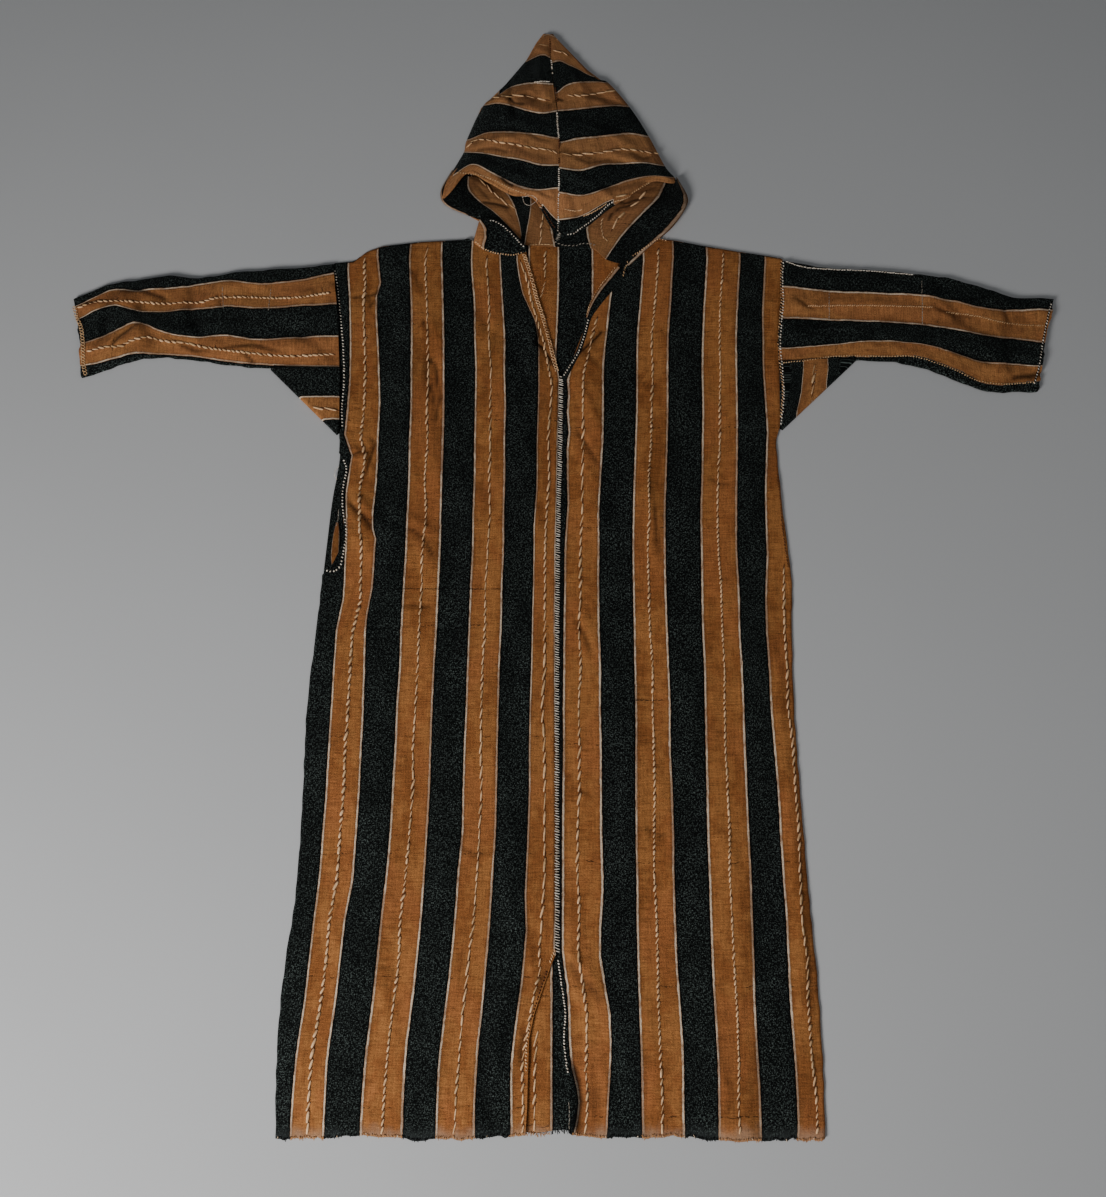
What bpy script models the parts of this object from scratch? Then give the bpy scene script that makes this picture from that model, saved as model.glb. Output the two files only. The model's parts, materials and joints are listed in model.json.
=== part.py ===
"""Hooded striped djellaba, laid out flat with its front up.

Metres, +Z up. +Y runs from the hem to the hood, +X to the viewer's right.
The origin is on the floor, under the middle of the robe's outline.

Every piece is one wall of cloth. A panel is a grid between its side edges. A sleeve, a gusset
and the hood are the same grid wrapped into a flattened ring, whose lower run lies on the floor.
"""
from collections import namedtuple

import bmesh
import bpy
import numpy as np
from mathutils import Vector

MM = 0.001                   # the tables below are in millimetres

# ---------------------------------------------------------------- driving sizes
CLOTH = 2.0                  # wall of woven wool
SEAM = 0.3                   # gap between two pieces that are sewn together
LAY = 0.3                    # gap between a panel and the one that it lies on
FRONT_BASE = CLOTH + LAY     # underside of the fronts where they lie on the back
HEM = -881.1                 # lower edge of the fronts
HEM_WAVE = 3.0               # the raw hem wanders by this much
BACK_NECK = 469.0            # where the hood is sewn to the back
SHOULDER = 455.0             # the rows of a panel are spaced for this height
SHOULDER_FROM = 0.8          # and above this share of it they lean to the real shoulder
BACK_TUCK = 2.0              # the back stops this far inside the fronts at the sides and hem

BACK_ROWS = 18
FRONT_ROWS = 28
FRONT_COLUMN = 36.0          # wider steps between the points of an upper edge are halved
BACK_COLUMN = 80.0
RING_BOTTOM = 7              # columns of a ring: its run on the floor, each turn, its upper run
RING_TURN = 3
RING_TOP = 9
RING_COLUMNS = RING_BOTTOM + RING_TURN + RING_TOP + RING_TURN
SETTLE_STEPS = 6             # steps that settle a point between a panel's edges
FINE = 1e-6                  # merge distance, metres
SHARP = 0.8                  # faces that meet at more than this angle show an edge, radians

# ---------------------------------------------------------------- outlines
# Sides of the body from hem to shoulder: outer edges of the left and right fronts.
Side = namedtuple("Side", "y left right")
SIDES = [
    Side(-890, -389, 349),
    Side(-790, -393, 352),
    Side(-680, -389, 351),
    Side(-575, -378, 346),
    Side(-465, -376, 343),
    Side(-290, -378, 339),
    Side(-105, -370, 340),
    Side(20, -362, 333),
    Side(90, -353, 332),
    Side(140, -354, 341),
    Side(290, -357, 347),
    Side(350, -365, 353),
    Side(436, -372, 362),
]

# Edges of the two fronts at the middle: hem slit, centre seam, neck opening.
Middle = namedtuple("Middle", "y left right")
MIDDLES = [
    Middle(-890, -55, 11),
    Middle(-798, -51, 2),
    Middle(-747, -49, -2),
    Middle(-700, -35, 0),
    Middle(-650, -15, -8),
    Middle(-640, -10, -10),
    Middle(-290, -10, -10),
    Middle(56, -6, -6),
    Middle(225, -4, -4),
    Middle(240, -8, 2),
    Middle(315, -30, 29),
    Middle(386, -47, 60),
    Middle(436, -57, 92),
    Middle(462, -62, 101),
]

# Hand slit in the left side: how far the front stands back from the side edge.
HandSlit = namedtuple("HandSlit", "y inset")
HAND_SLIT = [
    HandSlit(-98, 0),
    HandSlit(-84, 14),
    HandSlit(-60, 24),
    HandSlit(-5, 25),
    HandSlit(50, 17),
    HandSlit(92, 6),
    HandSlit(100, 0),
]

# Upper edges, from the armhole over the shoulder and down into the neck.
Top = namedtuple("Top", "x y")
TOP_LEFT = [
    Top(-372, 434),
    Top(-346, 437),
    Top(-325, 455),
    Top(-300, 465),
    Top(-238, 473),
    Top(-156, 478),
    Top(-126, 459),
    Top(-85, 453),
    Top(-57, 455),
]
TOP_RIGHT = [
    Top(90, 431),
    Top(104, 432),
    Top(136, 459),
    Top(160, 478),
    Top(181, 477),
    Top(227, 467),
    Top(285, 456),
    Top(333, 448),
    Top(362, 442),
]

# The back shares the shoulders, and between them it stops at the hood.
TOP_BACK = TOP_LEFT[:6] + [Top(-150, BACK_NECK), Top(0, BACK_NECK), Top(153, BACK_NECK)] + TOP_RIGHT[3:]

# Sleeves, from the armhole to the cuff: their edges at the top and under the arm.
Sleeve = namedtuple("Sleeve", "x upper under edge crown")
SLEEVE_LEFT = [
    Sleeve(-372, 430, 245, 6.4, 7.4),
    Sleeve(-450, 425, 246, 6.6, 7.8),
    Sleeve(-510, 420, 248, 6.6, 7.8),
    Sleeve(-600, 406, 257, 6.8, 7.8),
    Sleeve(-665, 408, 262, 6.8, 7.8),
    Sleeve(-740, 391, 241, 6.8, 7.8),
    Sleeve(-774, 378, 230, 6.8, 7.8),
    Sleeve(-800, 366, 224, 6.8, 7.6),
]
SLEEVE_RIGHT = [
    Sleeve(363, 435, 255, 6.4, 7.4),
    Sleeve(440, 423, 262, 6.6, 7.8),
    Sleeve(500, 421, 262, 6.6, 7.8),
    Sleeve(575, 413, 246, 6.8, 7.8),
    Sleeve(630, 408, 226, 6.8, 7.8),
    Sleeve(670, 397, 206, 6.8, 7.8),
    Sleeve(742, 376, 203, 6.8, 7.8),
    Sleeve(776, 371, 205, 6.8, 7.8),
    Sleeve(800, 367, 208, 6.8, 7.6),
]
CUFF_SLANT_LEFT = 28.0       # the cuff leans in by this much from its upper edge to its lower
CUFF_SLANT_RIGHT = 42.0
CUFF_REACH = 120.0           # and the lean fades out over this length of sleeve
ARMHOLE_REACH = 1.0 / 3.0    # share of the sleeve over which its rings turn to the armhole

# Armholes: where the sleeve's end and the body's side meet.
Armhole = namedtuple("Armhole", "y left right")
ARMHOLES = [
    Armhole(140, -354, 341.2),
    Armhole(290, -357.2, 347.3),
    Armhole(350, -365, 353.3),
    Armhole(436, -372, 362.3),
]

# Gussets: the two ends of the diagonal fold and the corner in the armpit.
Gusset = namedtuple("Gusset", "arm_x arm_y side_x side_y corner_x corner_y")
GUSSET_LEFT = Gusset(-472, 246.4, -353.8, 128, -356.2, 244.7)
GUSSET_RIGHT = Gusset(462, 262, 340.8, 136, 345.6, 255)
GUSSET_SEAM = 0.4            # gap to the sleeve and to the body's side
GUSSET_EDGE = 6.4            # height of its fold
GUSSET_END = 0.04            # share of the fold that each of its two points is cut short by
GUSSET_LAYER = 5             # columns of each of its two layers
GUSSET_ROWS = 6

# Hood, from the point to the neck: where its lower and its upper layer cross this section,
# its two side folds, and the heights of the folds and of the crown between them.
Hood = namedtuple("Hood", "lower upper left right edge crown")
HOOD = [
    Hood(885, 885, -37, -14, 7.0, 7.2),
    Hood(866, 866, -48, 0, 7.2, 8.5),
    Hood(830, 830, -66, 21, 7.6, 11),
    Hood(780, 782, -104, 80, 8.6, 15),
    Hood(732, 736, -147, 112, 9.6, 20),
    Hood(672, 678, -166, 145, 11, 26),
    Hood(632, 636, -170, 167, 13, 31),
    Hood(592, 596, -193, 193, 17, 35),
    Hood(558, 556, -202, 205, 18, 34),
    Hood(534, 530, -184, 202, 15, 31),
    Hood(512, 508, -141, 188, 10, 26),
    Hood(494, 486, -135, 172, 7.0, 20),
    Hood(470.4, 424, -147, 150, 6.2, 6.8),
]

# Opening for the face in the hood's upper layer, once round it from the left corner of the neck.
Opening = namedtuple("Opening", "x y")
FACE = [
    Opening(-60, 420),
    Opening(-62, 456),
    Opening(-92, 485),
    Opening(-122, 507),
    Opening(-158, 536),
    Opening(-180, 566),
    Opening(-172, 584),
    Opening(-148, 590),
    Opening(-118, 578),
    Opening(-70, 545),
    Opening(-38, 524),
    Opening(-9, 470),
    Opening(36, 484),
    Opening(70, 516),
    Opening(122, 549),
    Opening(162, 570),
    Opening(182, 568),
    Opening(150, 522),
    Opening(104, 474),
    Opening(76, 444),
    Opening(76, 420),
]
CUT_FROM = 2.15              # the cutters start above the hood's lower layer
CUT_TO = 60.0
NECK_CUT_TO = 400.0          # the neck's cutter runs down to here
NECK_EASE = 24.0             # the upper layer runs on past the lower one this far from its folds

# Largest folds of the fronts: a soft ridge from one end to the other.
Fold = namedtuple("Fold", "x0 y0 x1 y1 width height")
FOLDS = [
    Fold(-262, 430, -276, -120, 34, 1.8),
    Fold(-205, 330, -188, 60, 24, 2.2),
    Fold(-315, 20, -280, -60, 30, 1.9),
    Fold(-236, -20, -180, -110, 28, 1.7),
    Fold(-120, 300, -128, -300, 36, 1.6),
    Fold(-300, -330, -318, -840, 38, 2.1),
    Fold(-190, -250, -214, -800, 34, 1.8),
    Fold(-86, -420, -106, -850, 30, 1.7),
    Fold(-42, 260, -60, 60, 24, 1.9),
    Fold(30, 240, 46, 20, 26, 2.3),
    Fold(118, 110, 106, -60, 26, 1.9),
    Fold(150, 420, 158, -160, 36, 1.7),
    Fold(262, 400, 252, -120, 36, 1.9),
    Fold(66, -200, 74, -600, 34, 1.7),
    Fold(20, -650, 74, -760, 28, 2.4),
    Fold(182, -240, 190, -840, 38, 1.9),
    Fold(300, -220, 306, -860, 32, 2.2),
]
EDGE_ROLL = 22.0             # the fronts fall back onto the panel below over this distance

# Linear base colours of the cloth, one finish per piece.
CLOTH_ROUGHNESS = 0.92
OCHRE = (0.30, 0.115, 0.035, 1.0)
INDIGO_BLACK = (0.010, 0.012, 0.014, 1.0)


# ---------------------------------------------------------------- reading the tables
def read(table, key, column, at):
    """Value of a column where the key column has the value `at`, straight between its rows."""
    rows = sorted(table, key=lambda row: getattr(row, key))
    return float(np.interp(at, [getattr(row, key) for row in rows], [getattr(row, column) for row in rows]))


def by_station(table, column, station):
    """Value of a column at a station that runs from 0 at the first row to 1 at the last."""
    last = len(table) - 1
    return float(np.interp(station * last, range(last + 1), [getattr(row, column) for row in table]))


def ridge(fold, x, y):
    """Height of one fold at a point: a rounded ridge that dies away past both ends."""
    run_x, run_y = fold.x1 - fold.x0, fold.y1 - fold.y0
    length = np.hypot(run_x, run_y)
    along = ((x - fold.x0) * run_x + (y - fold.y0) * run_y) / length
    across = ((x - fold.x0) * run_y - (y - fold.y0) * run_x) / length
    past = max(0.0, -along, along - length)
    return fold.height * np.exp(-(across / fold.width) ** 2 - (past / (2.0 * fold.width)) ** 2)


def lift(x, y, left, right, bottom, top):
    """Underside of a front: it lies on the back, and its folds die away at its edges."""
    inside = min(x - left, right - x, y - bottom, top - y)
    settle = np.clip(inside / EDGE_ROLL, 0.0, 1.0)
    return FRONT_BASE + settle * sum(ridge(fold, x, y) for fold in FOLDS)


# ---------------------------------------------------------------- making cloth
def cloth_material(name, colour):
    material = bpy.data.materials.new(name)
    material.use_nodes = True
    shader = material.node_tree.nodes["Principled BSDF"]
    shader.inputs["Base Color"].default_value = colour
    shader.inputs["Roughness"].default_value = CLOTH_ROUGHNESS
    shader.inputs["Metallic"].default_value = 0.0
    return material


def grid(columns, rows, place):
    """A grid of columns by rows, placed by place(across, along) in millimetres."""
    shape = bmesh.new()
    bmesh.ops.create_grid(shape, x_segments=columns, y_segments=rows, size=0.5)
    for vert in shape.verts:
        vert.co = Vector(place(vert.co.x + 0.5, vert.co.y + 0.5)) * MM
    return shape


def finish(name, shape, colour):
    mesh = bpy.data.meshes.new(name)
    shape.to_mesh(mesh)
    shape.free()
    mesh.materials.append(cloth_material(name + "_cloth", colour))
    mesh.shade_smooth()
    mesh.set_sharp_from_angle(angle=SHARP)
    piece = bpy.data.objects.new(name, mesh)
    bpy.context.collection.objects.link(piece)
    return piece


def panel(name, colour, columns, rows, place):
    """A wall that lies flat: its underside is the grid, and its upper side is the grid moved up."""
    shape = grid(columns, rows, place)
    upper = bmesh.ops.extrude_face_region(shape, geom=list(shape.faces))["geom"]
    raised = [item for item in upper if isinstance(item, bmesh.types.BMVert)]
    bmesh.ops.translate(shape, verts=raised, vec=(0.0, 0.0, CLOTH * MM))
    bmesh.ops.recalc_face_normals(shape, faces=shape.faces)
    return finish(name, shape, colour)


def wrapped(name, colour, columns, rows, place, capped=False):
    """A wall that folds over itself. The grid is its outer side, and its thickness goes inwards.

    Where the first and the last column meet they are joined into a ring, and a capped ring is
    closed at its end with the greatest Y."""
    shape = grid(columns, rows, place)
    bmesh.ops.remove_doubles(shape, verts=shape.verts, dist=FINE)
    if capped:
        tip = max(vert.co.y for vert in shape.verts)
        rim = [edge for edge in shape.edges
               if edge.is_boundary and all(vert.co.y > tip - MM for vert in edge.verts)]
        bmesh.ops.holes_fill(shape, edges=rim, sides=len(rim))
    bmesh.ops.recalc_face_normals(shape, faces=shape.faces)
    if sum(face.normal.z * face.calc_center_median().z for face in shape.faces) < 0.0:
        bmesh.ops.reverse_faces(shape, faces=shape.faces)
    piece = finish(name, shape, colour)
    wall = piece.modifiers.new("wall", "SOLIDIFY")
    wall.thickness = CLOTH * MM
    wall.offset = -1.0
    wall.use_even_offset = True
    return piece


def ring_point(turn, left, right, edge, crown):
    """Point of a flattened ring at `turn` (0 to 1): its run on the floor, then its right turn,
    its upper run back to the left and its left turn. Returns the place across and the height."""
    step = (turn * RING_COLUMNS) % RING_COLUMNS
    bend = edge / 2.0
    if step <= RING_BOTTOM:
        return left + bend + (right - left - edge) * step / RING_BOTTOM, 0.0
    step -= RING_BOTTOM
    if step <= RING_TURN:
        angle = np.pi * (step / RING_TURN - 0.5)
        return right - bend + bend * np.cos(angle), bend + bend * np.sin(angle)
    step -= RING_TURN
    if step <= RING_TOP:
        share = step / RING_TOP
        arch = 1.0 - (2.0 * share - 1.0) ** 2
        return right - bend - (right - left - edge) * share, edge + (crown - edge) * arch
    step -= RING_TOP
    angle = np.pi * (0.5 + step / RING_TURN)
    return left + bend + bend * np.cos(angle), bend + bend * np.sin(angle)


# ---------------------------------------------------------------- pieces
def hem_wave(x):
    return HEM_WAVE * (np.sin(x / 61.0) + 0.5 * np.sin(x / 23.0 + 1.0))


def between(across, along, left_at, right_at, low_at, top_at):
    """Point of a panel, given its side edges by height and its lower and upper edges by place.

    The rows of every panel lie at the same heights as far as SHOULDER_FROM, so the two fronts meet
    along their seam. The four edges depend on one another: a few steps settle the point."""
    y = HEM + along * (SHOULDER - HEM)
    near_top = max(0.0, (along - SHOULDER_FROM) / (1.0 - SHOULDER_FROM))
    for _ in range(SETTLE_STEPS):
        left, right = left_at(y), right_at(y)
        x = left + across * (right - left)
        low, top = low_at(x), top_at(x)
        y = low + along * (SHOULDER - low) + near_top * (top - SHOULDER)
    return x, y, left, right, low, top


def build_panel(name, colour, rows, widest, left_at, right_at, tops, hem, rise_at):
    """A panel between two side edges, from its hem up to the points of its upper edge.

    Its columns run to those points, with one more between points that are wide apart."""
    points = []
    for point, after in zip(tops, tops[1:]):
        steps = 1 + int(after.x - point.x > widest)
        points += [point.x + (after.x - point.x) * step / steps for step in range(steps)]
    points.append(tops[-1].x)
    shares = [(x - points[0]) / (points[-1] - points[0]) for x in points]

    def place(across, along):
        share = float(np.interp(across, np.linspace(0.0, 1.0, len(shares)), shares))
        x, y, *edges = between(share, along, left_at, right_at,
                               lambda x: hem + hem_wave(x), lambda x: read(tops, "x", "y", x))
        return x, y, rise_at(x, y, *edges)

    return panel(name, colour, len(shares) - 1, rows, place)


def build_back():
    build_panel(
        "back_panel", INDIGO_BLACK, BACK_ROWS, BACK_COLUMN,
        lambda y: read(SIDES, "y", "left", y) + BACK_TUCK,
        lambda y: read(SIDES, "y", "right", y) - BACK_TUCK,
        TOP_BACK, HEM + BACK_TUCK, lambda *spot: 0.0,
    )


def build_fronts():
    build_panel(
        "front_left", OCHRE, FRONT_ROWS, FRONT_COLUMN,
        lambda y: read(SIDES, "y", "left", y) + read(HAND_SLIT, "y", "inset", y),
        lambda y: read(MIDDLES, "y", "left", y),
        TOP_LEFT, HEM, lift,
    )
    build_panel(
        "front_right", OCHRE, FRONT_ROWS, FRONT_COLUMN,
        lambda y: read(MIDDLES, "y", "right", y) + SEAM,
        lambda y: read(SIDES, "y", "right", y),
        TOP_RIGHT, HEM, lift,
    )


def build_sleeve(name, colour, table, armhole, sign, slant):
    """A sleeve along X: rings from the armhole to the cuff, whose ends follow both edges."""
    def place(across, along):
        upper = by_station(table, "upper", along)
        under = by_station(table, "under", along)
        edge = by_station(table, "edge", along)
        crown = by_station(table, "crown", along)
        y, z = ring_point(across, under, upper, edge, crown)
        x = by_station(table, "x", along)
        join = read(ARMHOLES, "y", armhole, y) + sign * SEAM
        near = np.clip(1.0 - along / ARMHOLE_REACH, 0.0, 1.0)
        x += near * (join - table[0].x)
        reach = np.clip(1.0 - abs(table[-1].x - x) / CUFF_REACH, 0.0, 1.0)
        drop = (upper - y) / (upper - under)
        x -= sign * slant * reach * drop
        return x, y, z

    rows = 2 * (len(table) - 1)
    return wrapped(name, colour, RING_COLUMNS, rows, place)


def build_gusset(name, colour, gusset, sign):
    """A square of cloth folded on its diagonal: from the lower layer round the fold to the upper."""
    arm = Vector((gusset.arm_x, gusset.arm_y - GUSSET_SEAM))
    side = Vector((gusset.side_x + sign * GUSSET_SEAM, gusset.side_y))
    corner = Vector((gusset.corner_x + sign * GUSSET_SEAM, gusset.corner_y - GUSSET_SEAM))
    middle = (arm + side) / 2.0
    inward = (corner - middle).normalized()
    bend = GUSSET_EDGE / 2.0
    layer, turn = GUSSET_LAYER, RING_TURN
    count = 2 * layer + turn

    def place(across, along):
        along = GUSSET_END + (1.0 - 2.0 * GUSSET_END) * along
        fold = arm.lerp(side, along)
        step = across * count
        if step <= layer:
            share, z = 1.0 - step / layer, 0.0
        elif step <= layer + turn:
            angle = np.pi * ((step - layer) / turn - 0.5)
            spot = fold + inward * (bend - bend * np.cos(angle))
            return spot.x, spot.y, bend + bend * np.sin(angle)
        else:
            share, z = (step - layer - turn) / layer, GUSSET_EDGE
        start = fold + inward * bend
        end = arm.lerp(corner, along * 2.0) if along < 0.5 else corner.lerp(side, along * 2.0 - 1.0)
        spot = start.lerp(end, share)
        return spot.x, spot.y, z

    return wrapped(name, colour, count, GUSSET_ROWS, place)


def build_hood():
    """The hood as one flattened bag: rings from the point to the neck, then its openings cut."""
    def place(across, along):
        left = by_station(HOOD, "left", along)
        right = by_station(HOOD, "right", along)
        edge = by_station(HOOD, "edge", along)
        crown = by_station(HOOD, "crown", along)
        x, z = ring_point(across, left, right, edge, crown)
        lower = by_station(HOOD, "lower", along)
        upper = by_station(HOOD, "upper", along)
        inside = min(x - left, right - x) - edge / 2.0
        on_top = z >= edge - FINE
        share = np.clip(inside / NECK_EASE, 0.0, 1.0) if on_top else 0.0
        return x, lower + share * (upper - lower), z

    hood = wrapped("hood", OCHRE, RING_COLUMNS, 2 * (len(HOOD) - 1), place, capped=True)
    neck = [Opening(top.x, top.y + SEAM) for top in TOP_LEFT[4:]] + [Opening(TOP_LEFT[-1].x, NECK_CUT_TO)]
    neck += [Opening(TOP_RIGHT[0].x, NECK_CUT_TO)] + [Opening(top.x, top.y + SEAM) for top in TOP_RIGHT[:6]]
    below = NECK_CUT_TO - CLOTH
    neck += [Opening(TOP_RIGHT[5].x, below), Opening(TOP_LEFT[4].x, below)]
    for name, outline in (("face", FACE), ("neck", neck)):
        cut = hood.modifiers.new(name, "BOOLEAN")
        cut.operation = "DIFFERENCE"
        cut.solver = "EXACT"
        cut.object = build_cutter(name + "_cutter", outline)
    return hood


def build_cutter(name, outline):
    """A prism over an outline. It starts just above the hood's lower layer, which it leaves whole."""
    shape = bmesh.new()
    rim = [shape.verts.new(Vector((point.x, point.y, CUT_FROM)) * MM) for point in outline]
    floor = shape.faces.new(rim)
    walls = bmesh.ops.extrude_face_region(shape, geom=[floor])["geom"]
    raised = [item for item in walls if isinstance(item, bmesh.types.BMVert)]
    bmesh.ops.translate(shape, verts=raised, vec=Vector((0.0, 0.0, CUT_TO - CUT_FROM)) * MM)
    bmesh.ops.recalc_face_normals(shape, faces=shape.faces)
    mesh = bpy.data.meshes.new(name)
    shape.to_mesh(mesh)
    shape.free()
    cutter = bpy.data.objects.new(name, mesh)
    bpy.context.collection.objects.link(cutter)
    cutter.hide_render = True
    cutter.display_type = "WIRE"
    return cutter


def main():
    for old in list(bpy.data.objects):
        bpy.data.objects.remove(old, do_unlink=True)
    build_back()
    build_fronts()
    build_sleeve("sleeve_left", INDIGO_BLACK, SLEEVE_LEFT, "left", -1.0, CUFF_SLANT_LEFT)
    build_sleeve("sleeve_right", INDIGO_BLACK, SLEEVE_RIGHT, "right", 1.0, CUFF_SLANT_RIGHT)
    build_gusset("gusset_left", OCHRE, GUSSET_LEFT, -1.0)
    build_gusset("gusset_right", INDIGO_BLACK, GUSSET_RIGHT, 1.0)
    build_hood()


main()
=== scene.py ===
"""Looks of a hooded striped djellaba that lies flat: woven cloth, twisted yarns and hand stitches.

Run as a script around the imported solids. Tables are in millimetres, panel values in metres.
"""
import json
from collections import namedtuple
from functools import cache, partial

import bmesh
import bpy
import numpy as np
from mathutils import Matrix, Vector
from mathutils.bvhtree import BVHTree

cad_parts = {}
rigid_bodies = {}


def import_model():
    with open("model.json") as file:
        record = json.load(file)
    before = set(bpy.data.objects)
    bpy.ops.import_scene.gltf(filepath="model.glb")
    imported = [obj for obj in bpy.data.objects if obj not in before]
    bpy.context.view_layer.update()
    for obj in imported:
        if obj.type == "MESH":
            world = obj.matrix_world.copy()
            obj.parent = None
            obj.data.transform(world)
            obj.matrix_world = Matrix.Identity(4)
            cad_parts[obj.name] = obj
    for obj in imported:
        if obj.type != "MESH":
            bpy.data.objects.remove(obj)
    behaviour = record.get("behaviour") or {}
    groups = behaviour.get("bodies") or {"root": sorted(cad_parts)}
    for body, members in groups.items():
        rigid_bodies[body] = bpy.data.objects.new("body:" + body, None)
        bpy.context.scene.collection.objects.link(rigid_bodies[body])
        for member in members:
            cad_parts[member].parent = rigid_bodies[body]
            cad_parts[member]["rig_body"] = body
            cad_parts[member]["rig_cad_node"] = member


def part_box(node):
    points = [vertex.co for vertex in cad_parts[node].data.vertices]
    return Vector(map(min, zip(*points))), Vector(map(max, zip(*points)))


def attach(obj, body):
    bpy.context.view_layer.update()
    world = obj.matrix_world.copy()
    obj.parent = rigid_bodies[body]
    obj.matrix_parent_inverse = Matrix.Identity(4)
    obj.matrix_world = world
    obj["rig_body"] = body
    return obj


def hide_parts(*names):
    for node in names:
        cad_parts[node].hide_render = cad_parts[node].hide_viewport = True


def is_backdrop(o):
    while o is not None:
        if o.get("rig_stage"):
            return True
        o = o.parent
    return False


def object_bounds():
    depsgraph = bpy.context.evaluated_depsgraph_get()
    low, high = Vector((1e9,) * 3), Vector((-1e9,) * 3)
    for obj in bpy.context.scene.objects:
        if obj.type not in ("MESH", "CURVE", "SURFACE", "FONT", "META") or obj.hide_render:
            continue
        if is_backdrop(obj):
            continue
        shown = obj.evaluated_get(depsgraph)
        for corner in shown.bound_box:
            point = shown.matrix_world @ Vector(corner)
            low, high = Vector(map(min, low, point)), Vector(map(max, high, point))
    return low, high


bl_info = {
    "name": "Striped djellaba",
    "version": (1, 0, 0),
    "blender": (4, 5, 0),
    "location": "3D View > Sidebar > Djellaba",
    "description": "Cloth, yarns and stitches of a hooded striped robe laid flat",
    "category": "Object",
}


def rows(kind, *fields):
    """A table: one of a kind for each row of fields."""
    return [kind(*row) for row in fields]


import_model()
SOLID_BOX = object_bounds()
BACK_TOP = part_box("back_panel")[1].z

MM = 0.001
BAND = 50.0                  # width of one woven band
FRONT_HEIGHT = 5.0           # how high the fronts lie
LOWEST_FRONT = 0.3           # and how near to the floor they come
EYE = Vector((-17.0, -489.6, 1478.0))      # where the tables' places are seen from
LOOK_AT = Vector((-17.0, -134.8, 0.0))
WEAVE_MAP = "Weave"          # across the bands in bands, along them in metres
BAKE_MAP = "OFBake"          # the same cloth laid out with its two sides apart
# Where the outer side, the inner side and both their heights start on it, and how far they go.
BAKE_OUTER, BAKE_INNER, BAKE_HEIGHT = (0.005, 0.645), (0.665, 0.33), (0.005, 0.99)
# painted shade: the depth in creases below darkens the cloth's colour
CREASE_SHADE_MAP = "Crease"        # how deep in a sharp crease the cloth lies, from 0 to 1
SLOT_BODY, SLOT_SLEEVE, SLOT_HOOD = "body_cloth", "sleeve_cloth", "hood_cloth"
PALE_OCHRE = (0.66, 0.40, 0.20, 1.0)      # the paler ochre that the wool of some pieces is drawn towards
# how much paler the ochre of the sleeves and of the hood is than the body's
SLEEVE_PALING, HOOD_PALING = 0.08, 0.18
LOWEST = 0.0001              # the underside of every piece clears the floor by this much
# How far along the woven cloth each piece is cut, in metres.
CUT_AT = {"left": 2.0, "right": 5.0, "back": 8.0, "strip": 11.0, "sleeve": 14.0, "gusset": 17.0,
          "crown": 20.0, "inside": 23.0, "lapel": 26.0, "hood_back": 29.0}
# Faces across and along the small pieces, and the thinner walls.
NECK_EDGE_FACES, TURNING_FACES, GUSSET_FACES = (8, 90), (6, 30), (60, 40)
HOOD_BACK_FACES, LAPEL_FACES = (50, 60), (44, 28)
TURNING_WALL, INSIDE_WALL, CROWN_WALL = 0.001, 0.0012, 0.0015
RING_TURN, RING_FACE, GUSSET_TURN = 0.07, 0.46, 0.16     # shares of a ring in its bends and its face

# ---------------------------------------------------------------- outlines of the body
HEM = -881.1
SHOULDER = 455.0
Side = namedtuple("Side", "y left right")
SIDES = rows(
    Side,
    (-890, -390, 349), (-790, -395, 352), (-680, -393, 351), (-575, -383, 346), (-465, -380, 343),
    (-290, -381, 340), (-168, -373, 344), (-105, -370, 347), (-40, -366, 343), (20, -362, 339),
    (90, -354, 336), (128, -354, 337), (140, -355, 341), (243, -359, 346), (300, -363, 347),
    (361, -369, 354), (412, -376, 360), (480, -384, 364),
)
MIDDLES = rows(
    Side,
    (-890, -55, 5), (-841, -52, 3), (-797, -51, 1), (-758, -50, -5), (-725, -43, -2), (-689, -30, -7),
    (-660, -19, -10.5), (-640, -10, -10), (-290, -10, -10), (56, -6, -6), (225, -4, -4), (240, -8, 7),
    (315, -26, 34), (386, -44, 65), (436, -58, 97), (480, -66, 111),
)
Edge = namedtuple("Edge", "x y")
HAND_SLIT = rows(Edge, (0, -98), (14, -84), (24, -60), (25, -5), (17, 50), (6, 92), (0, 100))
TOP_LEFT = rows(
    Edge,
    (-374, 434), (-346, 437), (-325, 455), (-300, 465), (-238, 473), (-156, 478), (-126, 459),
    (-85, 453), (-57, 455),
)
TOP_RIGHT = rows(
    Edge,
    (90, 431), (104, 432), (136, 459), (160, 478), (181, 477), (227, 467), (285, 456), (333, 448),
    (364, 442),
)
TOP_BACK = TOP_LEFT[:6] + [Edge(-150, 469), Edge(153, 469)] + TOP_RIGHT[3:]

# ---------------------------------------------------------------- woven bands
# Edges between the bands, from the robe's left: black, ochre, black and so on.
BANDS_LEFT = [-342, -297, -245, -191, -143, -94, -48, -14]
BANDS_RIGHT = [3, 54, 105, 156, 210, 266, 313, 362]
BANDS_BACK = [-341, -295, -248, -202, -156, -110, -64, -13, 41, 92, 143, 194, 245, 296, 347]
# How far the bands have slid sideways, by height.
Slide = namedtuple("Slide", "y left right")
SLIDES = rows(
    Slide,
    (-880, -28, 4), (-780, -26, 5), (-680, -17, 2), (-520, -7, 0), (-300, -3, 0), (0, 2, 1), (150, 2, 9),
    (300, -1, 14), (440, -9, 26),
)
NECK_LEAN = 20.0             # the bands beside the neck opening lean out by this much more
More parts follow.
